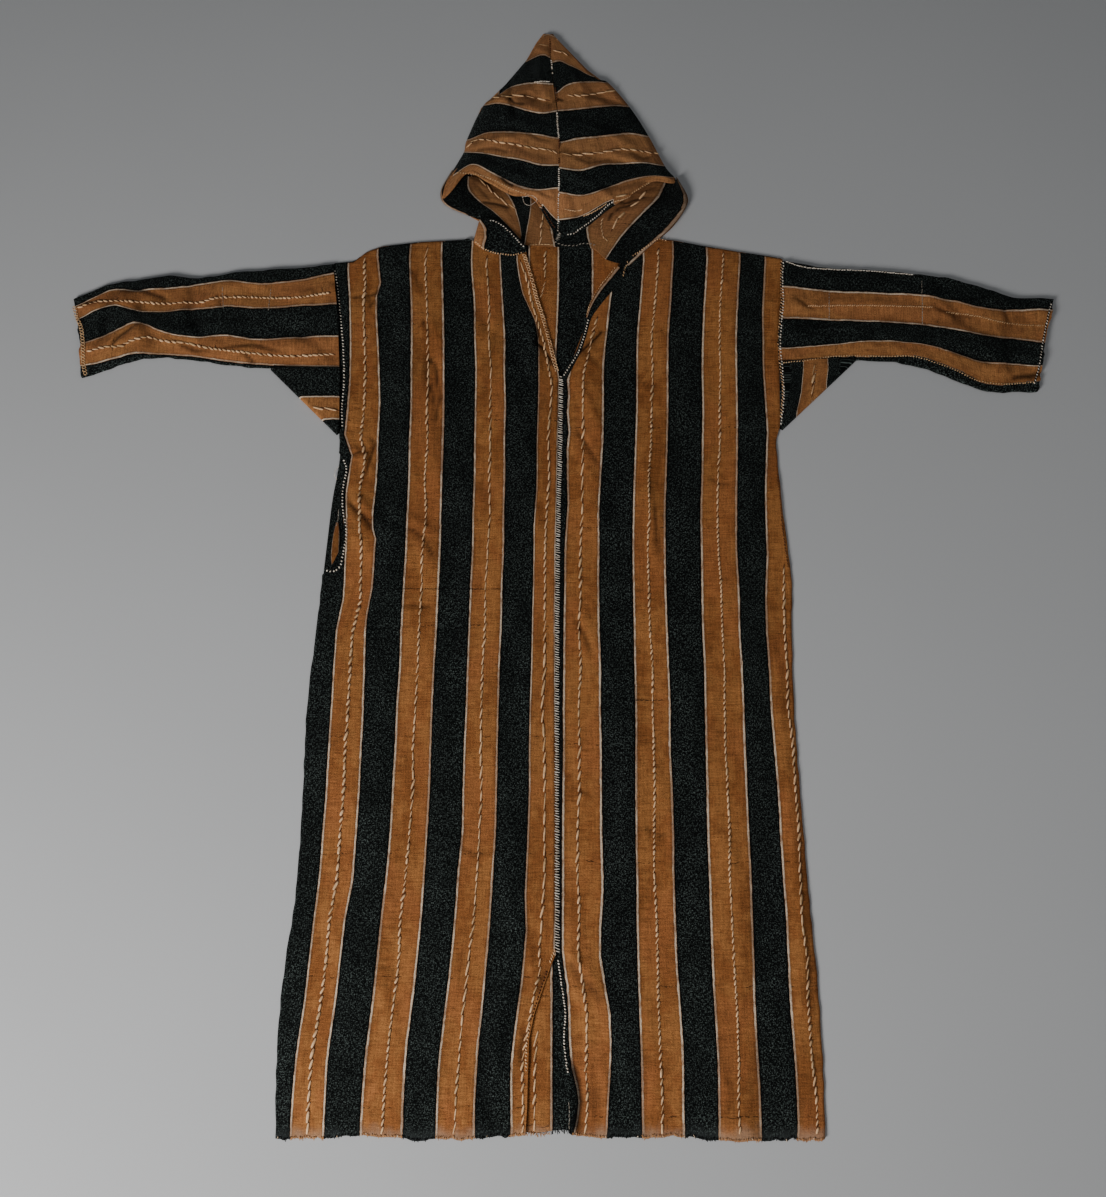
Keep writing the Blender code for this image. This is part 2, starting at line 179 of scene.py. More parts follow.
# Stretches where a band edge wanders off by itself: front, count of the edge, and places on it.
Stretch = namedtuple("Stretch", "front line places")
WANDERING = rows(
    Stretch,
    ("left", 0, [(-356, 425), (-350, 350), (-344, 230), (-347, 132), (-334, 96), (-340, 35),
        (-336, -30), (-337, -135)]),
    ("left", 1, [(-300, 400), (-305, 375), (-304, 340), (-293, 190), (-294, -25), (-289, -40),
        (-292, -115)]),
    ("left", 6, [(-46, 330), (-40, 265), (-40, 200), (-42, 120), (-43, 40), (-47, -20), (-47, -110)]),
    ("left", 6, [(-55, -615), (-66, -715), (-75, -790), (-74, -870)]),
    ("left", 7, [(-7, 225), (-9, 120), (-12, 0), (-14, -150), (-14, -640), (-8, -670), (-14, -700),
        (-20, -760), (-20, -885)]),
    ("right", 0, [(5, 225), (7, 200), (5, 170), (8, 135), (5, 110), (6, 20), (2, -40), (0, -110),
        (-2, -300), (-4, -640), (2, -690), (5, -760), (9, -795), (15, -820), (17, -838), (14, -860),
        (9, -880)]),
    ("right", 1, [(80, 385), (72, 315)]),
    ("right", 1, [(51, -615), (50, -650), (62, -725), (63, -760), (56, -880)]),
    ("right", 6, [(333, 448), (323, 330), (321, 190), (321, 135), (314, 60), (312, -65), (305, -140),
        (303, -190), (305, -300), (309, -450), (311, -600), (312, -760), (312, -885)]),
    ("left", 1, [(-299, -200), (-296, -320), (-297, -400), (-301, -550)]),
    ("left", 2, [(-252, -480), (-260, -600), (-273, -760), (-278, -885)]),
    ("left", 4, [(-149, -480), (-157, -600), (-171, -760), (-176, -885)]),
    ("right", 2, [(105, -330), (101, -500), (101, -640), (102, -760), (103, -885)]),
    ("right", 4, [(210, -100), (208, -200), (207, -350), (204, -520), (205, -640), (206, -885)]),
    ("right", 5, [(266, -450), (265, -600), (265, -760), (265, -885)]),
)

# ---------------------------------------------------------------- folds and creases
Fold = namedtuple("Fold", "x0 y0 x1 y1 width height")
FOLDS = rows(
    Fold,
    (-262, 430, -276, -120, 34, 1.8), (-205, 330, -188, 60, 24, 2.2), (-315, 20, -280, -60, 30, 1.9),
    (-236, -20, -180, -110, 28, 1.7), (-120, 300, -128, -300, 36, 1.6),
    (-300, -330, -318, -840, 38, 2.1), (-190, -250, -214, -800, 34, 1.8),
    (-86, -420, -106, -850, 30, 1.7), (-42, 260, -60, 60, 24, 1.9), (30, 240, 46, 20, 26, 2.3),
    (118, 110, 106, -60, 26, 1.9), (150, 420, 158, -160, 36, 1.7), (262, 400, 252, -120, 36, 1.9),
    (66, -200, 74, -600, 34, 1.7), (20, -650, 74, -760, 28, 2.4), (182, -240, 190, -840, 38, 1.9),
    (300, -220, 306, -860, 32, 2.2),
)
FOLD_RISE = 2.0              # the broad folds stand this much prouder than the solids'
CREASES = rows(
    Fold,
    # left front: beside the hand slit, and down the chest
    (-322, 96, -300, 70, 8, 1.4), (-312, 14, -280, -22, 8, 1.8), (-334, -30, -300, -62, 8, 1.3),
    (-236, -12, -206, -30, 8, 1.5), (-198, 190, -188, 70, 6, -1.0), (-212, 320, -189, 180, 8, 1.3),
    (-262, 150, -236, 60, 9, 1.2), (-232, 262, -240, 160, 8, -0.9), (-140, 420, -112, 330, 9, 1.0),
    (-108, 300, -122, 200, 8, -0.8), (-90, 250, -72, 140, 9, 1.1), (-54, 300, -40, 244, 7, 1.2),
    (-30, 190, -46, 110, 7, -1.1), (-70, 60, -38, -40, 9, 1.1), (-160, 40, -150, -120, 10, 1.0),
    (-300, -180, -262, -300, 12, 1.2), (-340, -240, -350, -420, 11, 1.2),
    (-232, -380, -250, -560, 12, 1.1), (-130, -480, -150, -660, 11, 1.0), (-70, -600, -40, -700, 9, 1.4),
    (-330, -600, -300, -720, 12, 1.1), (-250, -700, -262, -850, 11, 1.2),
    (-182, -760, -196, -872, 9, 1.3), (-110, -780, -98, -870, 9, -1.2), (-366, -700, -372, -860, 9, 1.2),
    (-62, -690, -84, -780, 7, -1.2),
    # right front
    (62, 330, 34, 300, 7, 1.1), (20, 300, 60, 250, 6, -0.9), (28, 200, 52, 140, 8, 1.5),
    (8, 120, 40, 60, 8, 1.3), (126, 70, 136, -60, 8, 1.4), (96, 96, 112, 10, 8, 1.0),
    (24, -150, 50, -206, 8, 1.2), (8, -650, 60, -716, 9, 1.6), (22, -700, 30, -800, 9, 1.2),
    (76, 400, 104, 300, 9, 0.9), (180, 200, 176, 60, 9, -0.9), (230, 120, 214, 0, 10, 1.0),
    (300, 330, 286, 210, 10, 1.1), (324, 90, 296, 40, 8, 1.2), (96, -280, 84, -420, 11, 1.0),
    (140, -420, 150, -600, 12, 1.0), (232, -500, 240, -700, 12, 1.1), (284, -360, 270, -520, 11, 1.0),
    (330, -500, 322, -700, 10, 1.2), (110, -720, 122, -866, 9, 1.2), (206, -780, 214, -872, 8, 1.3),
    (270, -760, 258, -870, 9, -1.1), (48, -790, 60, -872, 8, 1.2),
)
CREASE_RISE = 1.7
# Heights between which a part of the fronts' finish comes in.
SLIT_LOW, SLIT_HIGH = (-100, -80), (104, 90)      # the hand slit's two ends
SEAM_LOW, SEAM_HIGH = (-650, -630), (236, 216)    # the sewn stretch between the fronts
SEAM_RIDGE, HEM_GAP = (-655, -630), (-640, -680)  # the ridge beside it, and the slit below it
ARMHOLE = (122, 132)                              # where the side meets the sleeve
CALM_SIDE, CALM_HEM = 22.0, 26.0                  # folds die away this far in from the edges
# Sharp creases: how deep from 0 to 1, how wide, and their places. Shade is painted darker into the colour at
# their bottom.
Groove = namedtuple("Groove", "depth width places")
GROOVE_DEPTH = 2.4
BODY_GROOVES = rows(
    Groove,
    (0.7, 3.4, [(-348, 371), (-323, 373), (-308, 377), (-298, 389)]),
    (0.5, 9.0, [(-332, 363), (-312, 366)]), (0.6, 3.0, [(-318, 350), (-306, 368)]),
    (0.35, 9.0, [(-225, 290), (-219, 234), (-204, 178), (-192, 103)]),
    (0.8, 3.0, [(-226, 268), (-219, 234), (-204, 178), (-198, 140)]),
    (0.40, 11.0, [(-330, 14), (-308, -8), (-294, -28)]), (0.35, 9.0, [(-326, 102), (-306, 108)]),
    (0.35, 10.0, [(-240, -20), (-214, -44), (-198, -80)]),
    (0.35, 10.0, [(-44, 310), (-38, 285), (-18, 252)]), (0.35, 10.0, [(62, 310), (44, 286), (20, 260)]),
    (0.35, 9.0, [(-150, 352), (-136, 336), (-124, 300)]),
    (0.30, 8.0, [(-138, 60), (-118, 30), (-112, -10)]),
    (0.5, 3.0, [(-262, 430), (-244, 410), (-232, 380)]),
    (0.5, 3.0, [(-82, 260), (-64, 238), (-52, 200)]),
    (0.45, 3.0, [(-250, -150), (-220, -146), (-196, -152)]), (0.4, 3.0, [(-262, -660), (-236, -668)]),
    (0.4, 3.0, [(-150, -500), (-128, -512), (-108, -508)]), (0.4, 3.0, [(20, -420), (44, -432)]),
    (0.45, 3.0, [(112, -470), (134, -486), (150, -482)]), (0.4, 3.0, [(214, -330), (240, -342)]),
    (0.5, 3.0, [(116, 230), (134, 212), (150, 214)]), (0.4, 3.0, [(222, 60), (246, 46), (262, 50)]),
    (0.9, 2.8, [(-229, 329), (-218, 308), (-215, 299)]),
    (0.9, 2.8, [(-223, 273), (-207, 248), (-199, 209), (-196, 170)]),
    (1.0, 3.0, [(-46, 329), (-40, 303), (-45, 288), (-32, 279), (-25, 265), (-15, 248), (-7, 234)]),
    (1.0, 3.0, [(67, 315), (56, 302), (44, 289), (36, 281), (23, 268), (15, 258)]),
    (1.0, 4.2, [(-338, 21), (-323, 5), (-310, -5), (-292, -31)]),
    (0.8, 2.8, [(-333, 94), (-325, 98), (-315, 103)]),
    (0.8, 2.8, [(-308, 130), (-296, 114), (-299, 109), (-302, 96), (-307, 74), (-309, 60)]),
    (0.8, 3.4, [(-243, -22), (-216, -40), (-197, -78)]), (0.6, 3.4, [(18, 142), (38, 108), (56, 74)]),
    (0.7, 3.4, [(133, 62), (138, 20), (147, -76)]), (0.6, 3.4, [(16, -165), (30, -192), (42, -224)]),
    (0.55, 8.0, [(-2, -652), (12, -666), (26, -680), (40, -694), (54, -716)]),
    (0.35, 11.0, [(40, -816), (42, -846)]), (1.0, 6.5, [(6, -780), (16, -810), (19, -835), (12, -880)]),
    (0.7, 2.8, [(-54, -745), (-60, -765), (-61, -792)]), (0.5, 3.6, [(-26, -664), (-40, -700)]),
)

# ---------------------------------------------------------------- sleeves and gussets
# Along a sleeve: its edges, and the edges of its bands between them.
Sleeve = namedtuple("Sleeve", "x upper first second third fourth under")
SLEEVE_LEFT = rows(
    Sleeve,
    (-372, 431, 414, 355, 300, 245, 243), (-430, 424, 401, 351, 297, 246, 244),
    (-500, 419, 393, 346, 294, 250, 246), (-545, 415, 399, 350, 301, 255, 251),
    (-595, 405, 393, 345, 296, 263, 258), (-650, 409, 384, 341, 307, 267, 263),
    (-690, 402, 381, 342, 325, 268, 258), (-740, 394, 383, 352, 306, 257, 244),
    (-774, 379, 365, 340, 292, 250, 234), (-800, 366, 351, 326, 284, 246, 228),
)
SLEEVE_RIGHT = rows(
    Sleeve,
    (363, 437, 389, 331, 278, 253, 250), (440, 424, 380, 326, 283, 263, 257),
    (500, 420, 377, 323, 290, 263, 258), (575, 413, 372, 319, 285, 262, 246),
    (630, 405, 362, 310, 269, 240, 223), (670, 394, 350, 302, 255, 218, 206),
    (742, 369, 345, 292, 250, 217, 203), (776, 368, 346, 288, 247, 219, 203),
    (800, 367, 346, 286, 246, 220, 204),
)
SLEEVE_SEAM_BAND, SEAM_MARGIN = 0.82, 0.10      # the right sleeve's last ochre band is cut by its seam
CUFF_LEAN_LEFT, CUFF_LEAN_RIGHT, CUFF_REACH, CUFF_BOW = 28.0, 42.0, 120.0, 4.0
SLEEVE_HEIGHT = 6.6
SLEEVE_FOLDS_LEFT = rows(
    Fold,
    (-390, 330, -520, 352, 15, 2.0), (-400, 290, -560, 276, 13, 1.8), (-560, 380, -640, 330, 12, 2.2),
    (-600, 300, -690, 338, 11, 2.4), (-660, 392, -760, 352, 12, 1.8), (-700, 300, -782, 268, 12, 2.0),
    (-480, 400, -560, 392, 10, 1.3), (-690, 360, -668, 300, 8, -1.8), (-610, 380, -590, 310, 8, -1.4),
    (-730, 380, -742, 300, 8, -1.2), (-380, 380, -430, 372, 9, 1.4), (-374, 262, -430, 300, 8, -1.3),
    (-520, 330, -600, 322, 7, -1.0), (-640, 290, -600, 270, 8, 1.4),
)
SLEEVE_FOLDS_RIGHT = rows(
    Fold,
    (380, 400, 520, 396, 13, 1.7), (390, 350, 560, 344, 14, 1.9), (380, 300, 520, 306, 13, 1.8),
    (560, 380, 690, 336, 13, 2.2), (600, 290, 700, 256, 12, 2.1), (690, 366, 790, 330, 12, 1.9),
    (640, 330, 690, 300, 8, -1.6), (700, 270, 770, 252, 11, 1.8), (610, 400, 640, 340, 8, -1.3),
    (720, 330, 716, 240, 9, -1.2), (420, 280, 560, 270, 9, 1.2), (368, 330, 420, 320, 8, -1.2),
    (660, 240, 740, 226, 8, 1.2), (540, 330, 620, 322, 8, -1.0),
)
SLEEVE_RISE = 1.6
SLEEVE_GROOVES_LEFT = rows(
    Groove,
    (0.6, 3.0, [(-782, 356), (-760, 362), (-736, 360)]),
    (0.5, 3.0, [(-618, 284), (-590, 272), (-566, 274)]),
    (1.0, 4.0, [(-737, 384), (-694, 381), (-654, 368), (-640, 358)]),
    (0.4, 9.0, [(-726, 374), (-676, 366), (-640, 350)]),
    (0.9, 3.0, [(-722, 352), (-704, 344), (-686, 336)]),
    (0.8, 3.0, [(-693, 320), (-714, 300), (-728, 280)]),
    (0.9, 3.0, [(-514, 270), (-502, 258), (-494, 250)]),
    (0.8, 3.2, [(-700, 318), (-676, 327), (-650, 312)]),
    (0.6, 3.0, [(-566, 376), (-556, 350), (-548, 330)]),
    (0.6, 3.0, [(-448, 268), (-500, 284), (-552, 278)]),
)
SLEEVE_GROOVES_RIGHT = rows(
    Groove,
    (1.0, 4.6, [(712, 226), (744, 229), (774, 235)]), (0.5, 3.0, [(372, 372), (396, 352), (410, 344)]),
    (0.7, 3.2, [(600, 352), (630, 340), (668, 330)]), (0.7, 3.2, [(614, 276), (652, 262), (690, 248)]),
    (0.5, 3.0, [(384, 300), (430, 304), (480, 300)]), (0.6, 3.0, [(700, 366), (716, 346), (724, 320)]),
)
Gusset = namedtuple("Gusset", "arm_x arm_y side_x side_y corner_x corner_y")
GUSSET_LEFT = Gusset(-472, 246.4, -353.8, 128, -358, 244.7)
GUSSET_RIGHT = Gusset(472, 262, 340.8, 136, 345.6, 256)
GUSSET_SEAM, GUSSET_HEIGHT = 0.4, 6.4
GUSSET_MIDDLE_RIGHT = rows(Edge, (384, 150), (388, 165), (397, 200), (403, 240), (404, 256))

# ---------------------------------------------------------------- hood
# Where each band edge of the crown runs, as seen from the eye: from the crown seam (in) to the
# side fold (out), how far up the robe it is at six even stations, and how far it stands up.
Crown = namedtuple("Crown", "band x_in x_out y0 y1 y2 y3 y4 y5 z_in z_mid z_out")
CROWN_LEFT = rows(
    Crown,
    (0, -8, -203, 487, 557, 566, 590, 607, 556, 8, 21, 15),
    (1, -8, -203, 514, 559, 568, 592, 609, 559, 11, 22, 16),
    (2, -7, -190, 579, 575, 585, 606, 624, 602, 29, 27, 17),
    (3, -7, -169, 620, 621, 631, 637, 644, 646, 32, 27, 13),
    (4, -7, -164, 675, 682, 686, 688, 685, 671, 28, 23, 11),
    (5, -10, -137, 727, 723, 728, 737, 743, 739, 22, 18, 9.5),
    (6, -17, -111, 784, 786, 786, 783, 776, 762, 16, 13, 8.5),
    (7, -22, -66, 836, 841, 841, 837, 832, 827, 11, 9.5, 7.5),
    (8, -24, -33, 886, 886, 886, 885, 884, 883, 7.2, 7, 6.5),
)
CROWN_RIGHT = rows(
    Crown,
    (0, -8, 191, 485, 501, 536, 565, 592, 586, 8, 21, 13),
    (1, -8, 191, 516, 524, 549, 567, 594, 589, 14, 22, 13),
    (2, -7, 188, 570, 564, 577, 593, 601, 598, 28, 27, 15),
    (3, -7, 173, 615, 610, 621, 623, 625, 619, 32, 27, 14),
    (4, -6, 146, 667, 675, 678, 682, 685, 679, 28.5, 24, 11),
    (5, -9, 115, 728, 730, 733, 736, 738, 736, 22, 18, 9.5),
    (6, -13, 78, 765, 781, 787, 788, 788, 786, 17.5, 14, 8.5),
    (7, -20, 57, 826, 829, 821, 813, 803, 796, 12, 10, 7.5),
    (8, -24, -8, 886, 885, 883, 881, 878, 873, 7.2, 7, 6.5),
)
# At the rim the crown shows black near the seam and ochre further out.
RimTurn = namedtuple("RimTurn", "near far starts ends")
RIM_LEFT, RIM_RIGHT = RimTurn(-0.30, 0.55, 0.10, 0.20), RimTurn(-0.40, 0.50, 0.42, 0.52)
CROWN_FOLDS = rows(
    Fold,
    (-60, 760, -20, 742, 7, -1.4), (-110, 752, -70, 768, 8, 1.5), (-92, 748, -40, 728, 7, 1.3),
    (-150, 660, -90, 676, 8, 1.6), (-80, 660, -40, 640, 7, -1.0), (-130, 640, -70, 612, 8, -1.3),
    (-100, 600, -40, 572, 7, -1.3), (-40, 800, -30, 740, 7, 1.0), (20, 800, 40, 740, 8, 1.2),
    (60, 760, 100, 742, 7, -1.2), (30, 700, 110, 664, 9, 1.3), (10, 650, 90, 632, 8, -1.2),
    (90, 640, 160, 610, 8, 1.4), (20, 600, 80, 560, 8, 1.2), (60, 580, 130, 590, 7, -1.2),
    (-20, 560, 0, 500, 6, 1.2), (14, 560, 34, 508, 6, -1.0), (-60, 860, -30, 850, 6, 0.8),
    (-120, 720, -60, 700, 9, 1.1), (40, 860, 10, 830, 6, 0.7), (-90, 780, -84, 730, 6, -1.3),
)
CROWN_RISE = 2.4
CROWN_GROOVES = rows(
    Groove,
    (1.0, 3.4, [(-106, 600), (-96, 588), (-82, 580)]), (1.0, 3.4, [(-96, 760), (-84, 744), (-62, 742)]),
    (0.9, 3.0, [(-20, 742), (-8, 752), (4, 748)]), (0.6, 3.0, [(-150, 650), (-120, 654), (-90, 646)]),
    (0.6, 3.0, [(-70, 690), (-40, 672), (-16, 668)]), (0.6, 3.0, [(20, 700), (54, 684), (96, 690)]),
    (0.6, 3.0, [(14, 640), (44, 626), (90, 634)]), (0.5, 3.0, [(24, 770), (48, 756), (76, 752)]),
    (0.6, 3.0, [(20, 580), (44, 570), (80, 584)]), (0.5, 3.0, [(110, 650), (136, 634), (158, 640)]),
    (0.6, 3.4, [(-44, 572), (-34, 566), (-17, 556)]),
)
RIM_ROLL = 3.2               # the rim turns under with this radius
RIM_FLANGE = 15.0            # and runs back inside this far
# Inside of the hood: where its band edges run from the neck (0) up under the crown (5). The
# bands at its sides change from `band` at the neck to `upper` under the crown.
Inside = namedtuple("Inside", "band upper x0 y0 x1 y1 x2 y2 x3 y3 x4 y4 x5 y5 z_neck z_mid z_top")
INSIDE = rows(
    Inside,
    (-0.85, -1.05, -66, 459, -100, 496, -139, 516, -196, 543, -206, 572, -188, 612, 2.8, 2.5, 3.0),
    (-0.80, -0.93, -64, 462, -98, 501, -135, 522, -181, 545, -197, 572, -181, 607, 4.5, 8, 10),
    (0, 0, -72, 481, -92, 505, -116, 531, -142, 552, -160, 575, -161, 600, 4.0, 4.5, 5.0),
    (1, 1, -69, 478, -71, 500, -76, 524, -84, 550, -98, 574, -112, 596, 3.6, 4.0, 4.6),
    (2, 2, -65, 470, -61, 498, -57, 523, -55, 545, -56, 573, -60, 600, 3.4, 3.4, 3.6),
    (3, 3, -13, 466, -17, 489, -20, 508, -24, 530, -24, 558, -22, 585, 3.2, 3.2, 3.2),
    (4, 4, 45, 464, 40, 484, 38, 505, 38, 532, 41, 560, 46, 590, 3.4, 3.4, 3.4),
    (5, 5, 71, 443, 92, 477, 112, 503, 140, 535, 161, 559, 176, 592, 4.5, 6.0, 5.0),
    (6, 6, 104, 432, 138, 468, 169, 499, 196, 535, 202, 562, 192, 595, 8.5, 13, 13),
    (6.14, 6.14, 110, 432, 150, 471, 182, 502, 205, 538, 209, 562, 192, 598, 3.0, 2.5, 3.0),
)
INSIDE_FOLDS = rows(
    Fold,
    (-110, 590, -80, 540, 7, 1.5), (-150, 590, -120, 570, 6, 1.5), (-90, 520, -76, 496, 6, 1.2),
    (84, 520, 120, 540, 7, 1.4), (80, 500, 100, 524, 7, 1.2), (-60, 540, -40, 500, 7, 1.0),
    (150, 520, 178, 548, 8, 1.4), (110, 470, 140, 490, 8, -1.0), (50, 560, 56, 500, 7, 1.0),
)
INSIDE_GROOVES = rows(
    Groove,
    (1.0, 4.0, [(-141, 551), (-112, 546), (-85, 537)]),
    (0.9, 3.2, [(82, 527), (92, 538), (111, 543), (130, 549)]), (0.9, 3.2, [(82, 532), (76, 512)]),
    (0.9, 3.6, [(144, 572), (160, 581)]), (1.0, 3.4, [(86, 556), (104, 547), (128, 556), (150, 562)]),
    (0.8, 3.0, [(-150, 588), (-132, 566), (-120, 548)]), (0.7, 4.0, [(-168, 560), (-164, 590)]),
)
# Left lapel: its lower edge on the neck seam and its upper, dotted edge.
Lapel = namedtuple("Lapel", "x_low y_low x_high y_high")
LAPEL = rows(
    Lapel,
    (-150, 474, -139, 521), (-135, 462, -127, 520), (-118, 454, -110, 515), (-98, 450, -90, 498),
    (-81, 449, -74, 482), (-62, 456, -60, 464),
)
LAPEL_BAND_EDGE = rows(Edge, (-131, 470), (-128, 482), (-128, 498), (-131, 506), (-141, 520))
# Turned black edge along the right side of the neck opening: its inner and outer side.
NECK_EDGE = rows(
    Lapel,
    (-5, 226, 4, 224), (3, 244, 13, 244), (20, 274, 27, 272), (31, 307, 38, 305), (37, 337, 45, 334),
    (44, 362, 60, 358), (58, 388, 80, 384), (72, 408, 95, 400), (88, 431, 108, 415),
)
# Brown turning of the hand slit's back edge: its two sides.
SLIT_TURNING = rows(
    Lapel,
    (-355, -88, -351, -88), (-359, -72, -346, -70), (-359, -50, -345, -50), (-357, -32, -346, -30),
    (-353, -14, -349, -12),
)
# Lower layer of the hood, on the floor.
HOOD_BACK = rows(
    Side,
    (470.4, -146, 149), (494, -133, 166), (512, -138, 182), (534, -176, 196), (558, -193, 200),
    (592, -186, 188), (632, -164, 160), (672, -160, 140), (732, -141, 108), (780, -99, 76),
    (830, -63, 20), (866, -46, -4), (884, -34, -17),
)

# ---------------------------------------------------------------- yarns and stitches
# Thick yarns laid in the ochre bands: where they run, as seen from the eye, and the shortest
# and the longest turn of their twist.
Yarn = namedtuple("Yarn", "piece width short long points")
BandYarn = namedtuple("BandYarn", "front band width short long top")
BODY_YARNS = rows(
    BandYarn,
    ("left", 0.50, 4.2, 10.0, 17.0, 480), ("left", 2.50, 3.1, 10.0, 20.0, 480),
    ("left", 4.50, 2.8, 9.0, 18.0, 480), ("left", 6.55, 3.3, 12.0, 22.0, 480),
    ("right", 0.55, 3.4, 12.0, 22.0, 342), ("right", 2.50, 3.2, 8.0, 15.0, 480),
    ("right", 4.52, 3.0, 7.0, 12.0, 480), ("right", 6.50, 3.5, 9.0, 15.0, -82),
)
WANDERING_YARNS = rows(
    Stretch,
    ("left", 0.50, [(-319, 190), (-319, 116), (-314, 100), (-315, 78), (-320, 30), (-314, -40),
        (-310, -135)]),
    ("left", 6.55, [(-74, 453), (-57, 400), (-42, 330), (-24, 250), (-19, 215), (-20, 195), (-24, 145),
        (-23, 70), (-26, 15), (-29, -105), (-30, -250), (-30, -560), (-36, -650), (-47, -720),
        (-59, -790), (-58, -880)]),
    ("right", 0.55, [(56, 342), (44, 290), (33, 243), (30, 100), (25, -130), (22, -350), (20, -600),
        (20, -660), (30, -725), (28, -800), (26, -880)]),
)
YARNS = rows(
    Yarn,
    ("back_panel", 3.0, 10, 18, [(-30, 458), (-30, 436), (-30, 404)]),
    ("back_panel", 1.8, 10, 18, [(-30, 402), (-33, 388), (-37, 372)]),
    ("back_panel", 3.0, 12, 20, [(-40, -747), (-41, -779), (-42, -815), (-42, -872)]),
    ("hood", 3.1, 9, 18, [(-164, 655), (-151, 669), (-127, 670), (-109, 666), (-80, 661), (-53, 655),
        (-27, 651), (-12, 646)]),
    ("hood", 3.1, 12, 22, [(-4, 644), (26, 641), (46, 644), (67, 646), (93, 651), (120, 651), (140, 647),
        (161, 644)]),
    ("hood", 2.9, 12, 22, [(-125, 754), (-99, 757), (-69, 759), (-51, 755), (-33, 751), (-15, 749)]),
    ("hood", 2.9, 10, 18, [(7, 759), (29, 759), (47, 761), (68, 765), (88, 769)]),
    ("hood", 2.4, 12, 20, [(-44, 864), (-25, 862)]),
    ("hood", 2.4, 12, 20, [(-17, 850), (-6, 849), (10, 842)]),
    ("hood", 2.7, 10, 18, [(-142, 594), (-130, 582), (-119, 570), (-108, 559), (-95, 547), (-81, 539)]),
    ("hood", 3.1, 14, 22, [(-34, 531), (-34, 517), (-37, 503), (-37, 489), (-38, 473)]),
    ("hood", 3.6, 16, 24, [(139, 571), (124, 550), (115, 541)]),
    ("hood", 3.6, 16, 24, [(104, 532), (96, 523), (90, 516), (83, 500), (76, 489)]),
    ("hood", 2.0, 6, 9, [(66, 520), (64, 509), (65, 494), (68, 482), (73, 478)]),
    ("hood", 3.0, 12, 22, [(89, 558), (100, 562), (112, 566)]),
    ("hood", 3.0, 12, 22, [(163, 593), (176, 590)]),
    ("sleeve_left", 3.6, 6, 9, [(-793, 353), (-774, 362), (-739, 366), (-693, 364), (-650, 361),
        (-621, 363), (-595, 363), (-575, 370), (-530, 373), (-464, 371), (-432, 373), (-383, 381)]),
    ("sleeve_left", 3.5, 6, 11, [(-771, 275), (-740, 284), (-718, 285), (-702, 294), (-680, 301),
        (-647, 294), (-615, 291), (-575, 282), (-523, 275), (-490, 271), (-458, 268), (-366, 271)]),
    ("gusset_right", 3.4, 12, 20, [(403, 252), (400, 222), (397, 196)]),
    ("gusset_left", 3.8, 12, 20, [(-401, 177), (-380, 176), (-359, 174)]),
)
YARN_WANDER = 2.0            # a body yarn strays this far to each side
BODY_STEEP, SLEEVE_STEEP = 1.05, 1.1
THIN_SHARE, DULL_SHARE = 0.15, 0.24      # shares of its turns that are thin, and of duller wool
# How much the turns differ: in their run, tilt, width and length, and in the dark ply.
TURN_SHARES, TILT_SHARES, TILT_SPREAD = (0.8, 1.15), (0.35, 1.35), 3.0
WIDTH_SHARES, REACH_SHARES, PLY_SHARES, PLY_WIDTH = (0.72, 1.16), (0.84, 1.22), (0.55, 0.85), 0.55
# Height of its pale, dull and dark turns, as a share of their width.
YARN_RISE = {"cream": 0.62, "tan": 0.60, "brown": 0.66}
Mark = namedtuple("Mark", "at side turn length width")
MARKS = {                    # strokes of one stitch: place in the pitch, offset, turn and size
    "bead": [Mark(0.0, 0.0, 62, 3.3, 2.3)],
    "dot": [Mark(0.0, 0.0, 40, 3.0, 2.2)],
    "ess": [Mark(0.0, 0.0, 76, 8.4, 1.45)],
    "rope": [Mark(0.0, 0.0, 10, 4.8, 1.9)],
    "loop": [Mark(0.0, 0.0, 80, 5.6, 2.1), Mark(0.5, 2.3, 8, 4.2, 1.9), Mark(0.5, -2.3, -8, 4.2, 1.9)],
    "run": [Mark(0.0, 0.0, 4, 5.0, 1.5)],
    "whip": [Mark(0.0, 0.0, 38, 5.2, 1.9)],
    "between": [Mark(0.5, 0.0, 40, 5.6, 2.1)],
    "dash": [Mark(0.0, 0.0, 28, 4.6, 1.6)],
    "hair": [Mark(0.0, 0.0, 0, 4.6, 1.0)],
    "fine": [Mark(0.0, 0.0, 42, 4.0, 1.6)],
    "tuft": [Mark(0.0, 0.0, 35, 5.0, 1.0), Mark(0.3, 1.0, -40, 5.5, 0.9), Mark(0.6, -1.0, 80, 5.0, 1.0)],
}
Line = namedtuple("Line", "piece mark colour pitch points")
ARMHOLE_RIGHT = [
    (361, 440), (358, 402), (357, 364), (352, 327), (348, 290), (349, 246), (351, 218), (345, 161)]
CUFF_RIGHT = [(798, 362), (786, 325), (774, 283), (764, 245), (754, 219)]
